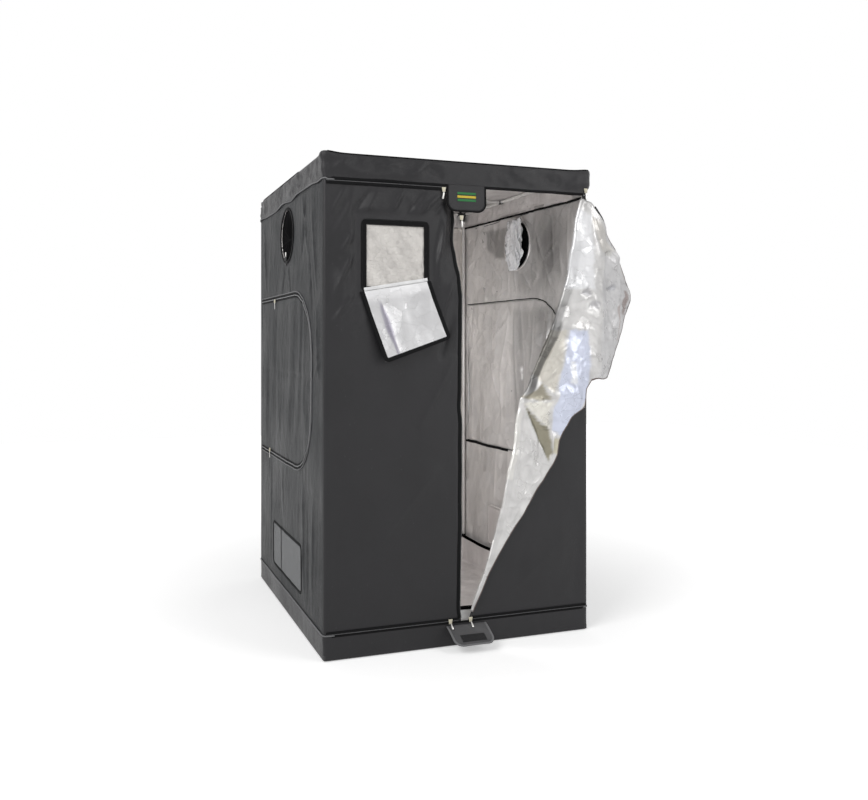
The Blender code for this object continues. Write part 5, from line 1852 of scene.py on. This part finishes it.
def build_sliders():
    front = Matrix.Identity(4)
    sides = {
        "left": Matrix(((0, 1, 0, 0), (-1, 0, 0, 0), (0, 0, 1, 0), (0, 0, 0, 1))),
        "right": Matrix(((0, -1, 0, 0), (1, 0, 0, 0), (0, 0, 1, 0), (0, 0, 0, 1))),
    }
    body, bridge = build_slider_template()
    ring, tab = build_pull_template()
    head = joined("slider_head", [body, bridge])
    pull = joined("slider_pull", [ring, tab])
    places = {
        "top_left_slider": (Vector((-0.088, -SLIDER_OUT, 1.887)), front),
        "centre_slider": (Vector((-0.008, -SLIDER_OUT, 1.775)), front),
        "top_right_slider": (Vector((0.588, -SLIDER_OUT, 1.921)), front),
        "bottom_left_slider": (Vector((-0.058, -SLIDER_OUT, 0.113)), front),
        "bottom_right_slider": (Vector((0.033, -SLIDER_OUT, 0.113)), front),
    }
    for side, sign in SIDEWAYS:
        places[f"{side}_side_door_top_slider"] = (Vector((sign * SLIDER_OUT, 0.232, 1.462)), sides[side])
        places[f"{side}_side_door_bottom_slider"] = (Vector((sign * SLIDER_OUT, 0.345, 0.721)), sides[side])
    for name, (at, turn) in places.items():
        lift = Vector((0, -0.0035, 0))
        head_copy = copied(f"{name}_head", head, Matrix.Translation(at) @ turn @ Matrix.Translation(lift))
        give(head_copy, name, "cream_plastic", CREAM)
        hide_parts(name)
        if name.startswith("bottom"):
            node = f"{name}_pull"
            body_name = name.replace("slider", "pull")
            droop = Matrix.Rotation(math.radians(42) - math.pi / 2, 4, "X")
            hinge = Matrix.Translation((at.x, -0.6052, 0.099))
            pull_copy = copied(f"{name}_pull_tab", pull, hinge @ droop @ Matrix.Translation((0, -0.0030, 0)))
            give(pull_copy, body_name, "pole_metal", METAL)
            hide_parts(node)
        else:
            swing = Matrix.Rotation(math.radians(10 if name == "top_left_slider" else -4), 4, "Y")
            hang = Matrix.Translation(at) @ turn @ Matrix.Translation((0, -0.0068, -0.0165)) @ swing
            pull_copy = copied(f"{name}_pull_tab", pull, hang)
            give(pull_copy, name, "cream_plastic", METAL)
    bpy.data.objects.remove(head)
    bpy.data.objects.remove(pull)


def build_tray_ties():
    """The tray is tied to each post by a short loop of webbing."""
    for number, (x, y) in enumerate([(x, y) for x in (-1, 1) for y in (-1, 1)], 1):
        loop = add_cylinder("tie_loop", 0.0108, 0.012, (x * POST, y * POST, 0.143), (0, 0, 0), 0.001, 24)
        tab = add_cube("tie_tab", (0.016, 0.016, 0.011), (x * 0.5755, y * 0.5755, 0.142), 0.002, (0, 0, math.pi / 4))
        tie = joined(f"tray_tie_{number}", [loop, tab])
        give(tie, "root", "black_binding", BINDING)


def build_port_toggles():
    """The cord lock that holds the gathered port, low in its ring, with the bright end of its plunger."""
    lean = (0.12, 0, 0)
    for side, sign in SIDEWAYS:
        barrel = add_cylinder("toggle_barrel", 0.0075, 0.02, (sign * 0.6025, 0.012, 1.640), lean, 0.0015, 24)
        loop = add_cube("toggle_loop", (0.003, 0.006, 0.03), (sign * 0.602, 0.010, 1.622), 0.0008)
        toggle = joined(f"{side}_port_toggle", [barrel, loop])
        give(toggle, "root", "black_plastic", PLASTIC)
        place = (sign * 0.6025, 0.0135, 1.656)
        plunger = add_cylinder(f"{side}_port_plunger", 0.0048, 0.026, place, lean, 0.001, 20)
        give(plunger, "root", "pole_metal", METAL)


def refinish_cad():
    """The crossbar clips keep their own shape and take a moulded finish."""
    for name in ("front", "back"):
        for side in ("left", "right"):
            for slot in bpy.data.objects[f"crossbar_{name}_clip_{side}"].material_slots:
                slot.material = PLASTIC


# The room: a pale floor under soft studio light
def show_as(tree, seen, lit):
    """One strength for what the camera sees and another for the light it gives."""
    nodes = Nodes(tree)
    path = nodes.add("LightPath").outputs
    direct = nodes.math("MAXIMUM", path["Is Camera Ray"], path["Is Glossy Ray"])
    seen_share = nodes.math("MAXIMUM", direct, path["Is Transmission Ray"])
    return nodes.remap(seen_share, 0.0, 1.0, lit, seen)


def build_room():
    scene = bpy.context.scene
    world = bpy.data.worlds.new("studio")
    world.use_nodes = True
    back = world.node_tree.nodes["Background"]
    back.inputs["Color"].default_value = (1, 1, 1, 1)
    world.node_tree.links.new(show_as(world.node_tree, 1.0, 0.36), back.inputs["Strength"])
    scene.world = world

    bpy.ops.object.select_all(action="DESELECT")
    bpy.ops.mesh.primitive_plane_add(size=14, location=(0, 0, -0.0015))
    floor = bpy.context.active_object
    floor.name = "floor"
    made = bpy.data.materials.new("pale floor")
    made.use_nodes = True
    shader = made.node_tree.nodes["Principled BSDF"]
    nodes = Nodes(made.node_tree)
    mottle = nodes.noise(nodes.add("TexCoord").outputs["Object"], 3.0)
    shade = nodes.remap(mottle, 0.0, 1.0, 0.86, 0.9)
    grey = nodes.add("CombineColor", {0: shade, 1: shade, 2: shade}).outputs[0]
    made.node_tree.links.new(grey, shader.inputs["Base Color"])
    shader.inputs["Roughness"].default_value = 0.9
    shader.inputs["Emission Color"].default_value = (1, 1, 1, 1)
    distance = nodes.vector("LENGTH", nodes.add("TexCoord").outputs["Object"])["Value"]
    glow = nodes.remap(distance, 0.9, 3.5, 0.42, 0.9)
    strength = nodes.math("MULTIPLY", show_as(made.node_tree, 1.0, 0.0), glow)
    made.node_tree.links.new(strength, shader.inputs["Emission Strength"])
    floor.data.materials.append(made)

    for name, energy, size, place, target in (
        ("key", 118, 2.6, (-3.6, -2.4, 3.9), (0, 0, 1.0)),
        ("fill", 46, 2.2, (2.9, -3.5, 2.9), (0.2, -0.4, 1.0)),
        ("low inner", 1.8, 0.24, (-0.3, -0.3, 0.75), (0.35, 0.0, 0.0)),
        ("inner", 5.0, 0.3, (-0.25, -0.38, 1.25), (0.6, 0.25, 1.05)),
    ):
        light = bpy.data.lights.new(name, "AREA")
        light.energy = energy
        light.size = size
        lamp = bpy.data.objects.new(name, light)
        lamp.location = place
        lamp.rotation_euler = (Vector(target) - Vector(place)).to_track_quat("-Z", "Y").to_euler()
        lamp.visible_camera = False
        scene.collection.objects.link(lamp)

    camera = bpy.data.cameras.new("camera")
    camera.lens = 33.22
    camera.sensor_width = 36
    camera.shift_x = 0.1031
    camera.shift_y = -0.0661
    eye = bpy.data.objects.new("camera", camera)
    eye.location = (-1.4749, -3.6084, 1.2508)
    eye.rotation_euler = (math.pi / 2, 0, math.radians(-17.72))
    scene.collection.objects.link(eye)
    scene.camera = eye
    scene.view_settings.view_transform = "Standard"


# The cloth pieces: the size each was cut to, its area where it isn't a rectangle, and what holds it
RAILS = ["top_rail_front", "top_rail_back", "top_rail_left", "top_rail_right"]
SHEETS = [
    ("roof_cap_cloth", (1.414, 1.414), 1.954, "stretched", RAILS),
    ("base_tub_cloth", (1.4, 1.4), 1.92, "stretched", ["bottom_rail_front", "bottom_rail_back"]),
    ("floor_tray_cloth", (1.449, 1.449), 1.996, "laid", ["base_tub_cloth"]),
    ("back_wall_cloth", (1.2, 1.825), None, "hung", ["post_back_left", "post_back_right"]),
    ("right_door_lower_cloth", (0.6, 1.825), 0.56, "hung", ["post_front_right"]),
    ("right_door_folded_cloth", (0.6, 1.825), 0.5, "folded", ["right_door_lower_cloth"]),
    ("left_door_cloth", (0.6, 1.825), 1.02, "hung", ["post_front_left"]),
    ("window_film_sheet", (0.274, 0.272), None, "stretched", ["window_binding_tape"]),
    ("window_cover_cloth", (0.298, 0.292), None, "hung", ["left_door_cloth"]),
    ("top_storm_flap_cloth", (0.178, 0.112), 0.019, "hung", ["roof_cap_cloth"]),
    ("bottom_storm_flap_cloth", (0.178, 0.112), 0.019, "hung", ["base_tub_cloth"]),
    ("hook_patch_pad", (0.107, 0.035), None, "laid", ["bottom_storm_flap_cloth"]),
]
for side in ("left", "right"):
    posts = [f"post_front_{side}", f"post_back_{side}"]
    SHEETS += [
        (f"{side}_wall_cloth", (1.176, 1.825), 1.31, "hung", posts),
        (f"{side}_side_door_cloth", (0.97, 0.765), 0.71, "hung", [f"{side}_wall_cloth"]),
        (f"{side}_vent_net", (0.53, 0.197), None, "stretched", [f"{side}_wall_cloth"]),
        (f"{side}_vent_cover_cloth", (0.554, 0.217), None, "hung", [f"{side}_wall_cloth"]),
        (f"{side}_port_sleeve_cloth", (0.41, 0.26), None, "gathered", [f"{side}_wall_cloth"]),
        (f"{side}_port_shade", (0.25, 0.25), 0.046, "gathered", [f"{side}_wall_cloth"]),
    ]


def build_tent():
    build_roof_cap()
    trim_roof_cap()
    build_base_tub()
    build_tray()
    build_back_wall()
    build_side("left")
    build_side("right")
    build_left_door()
    build_cover()
    build_folded_door()
    build_lower_door()
    build_flaps()
    build_frame()
    build_sliders()
    build_tray_ties()
    build_port_toggles()
    refinish_cad()


build_tent()
build_room()
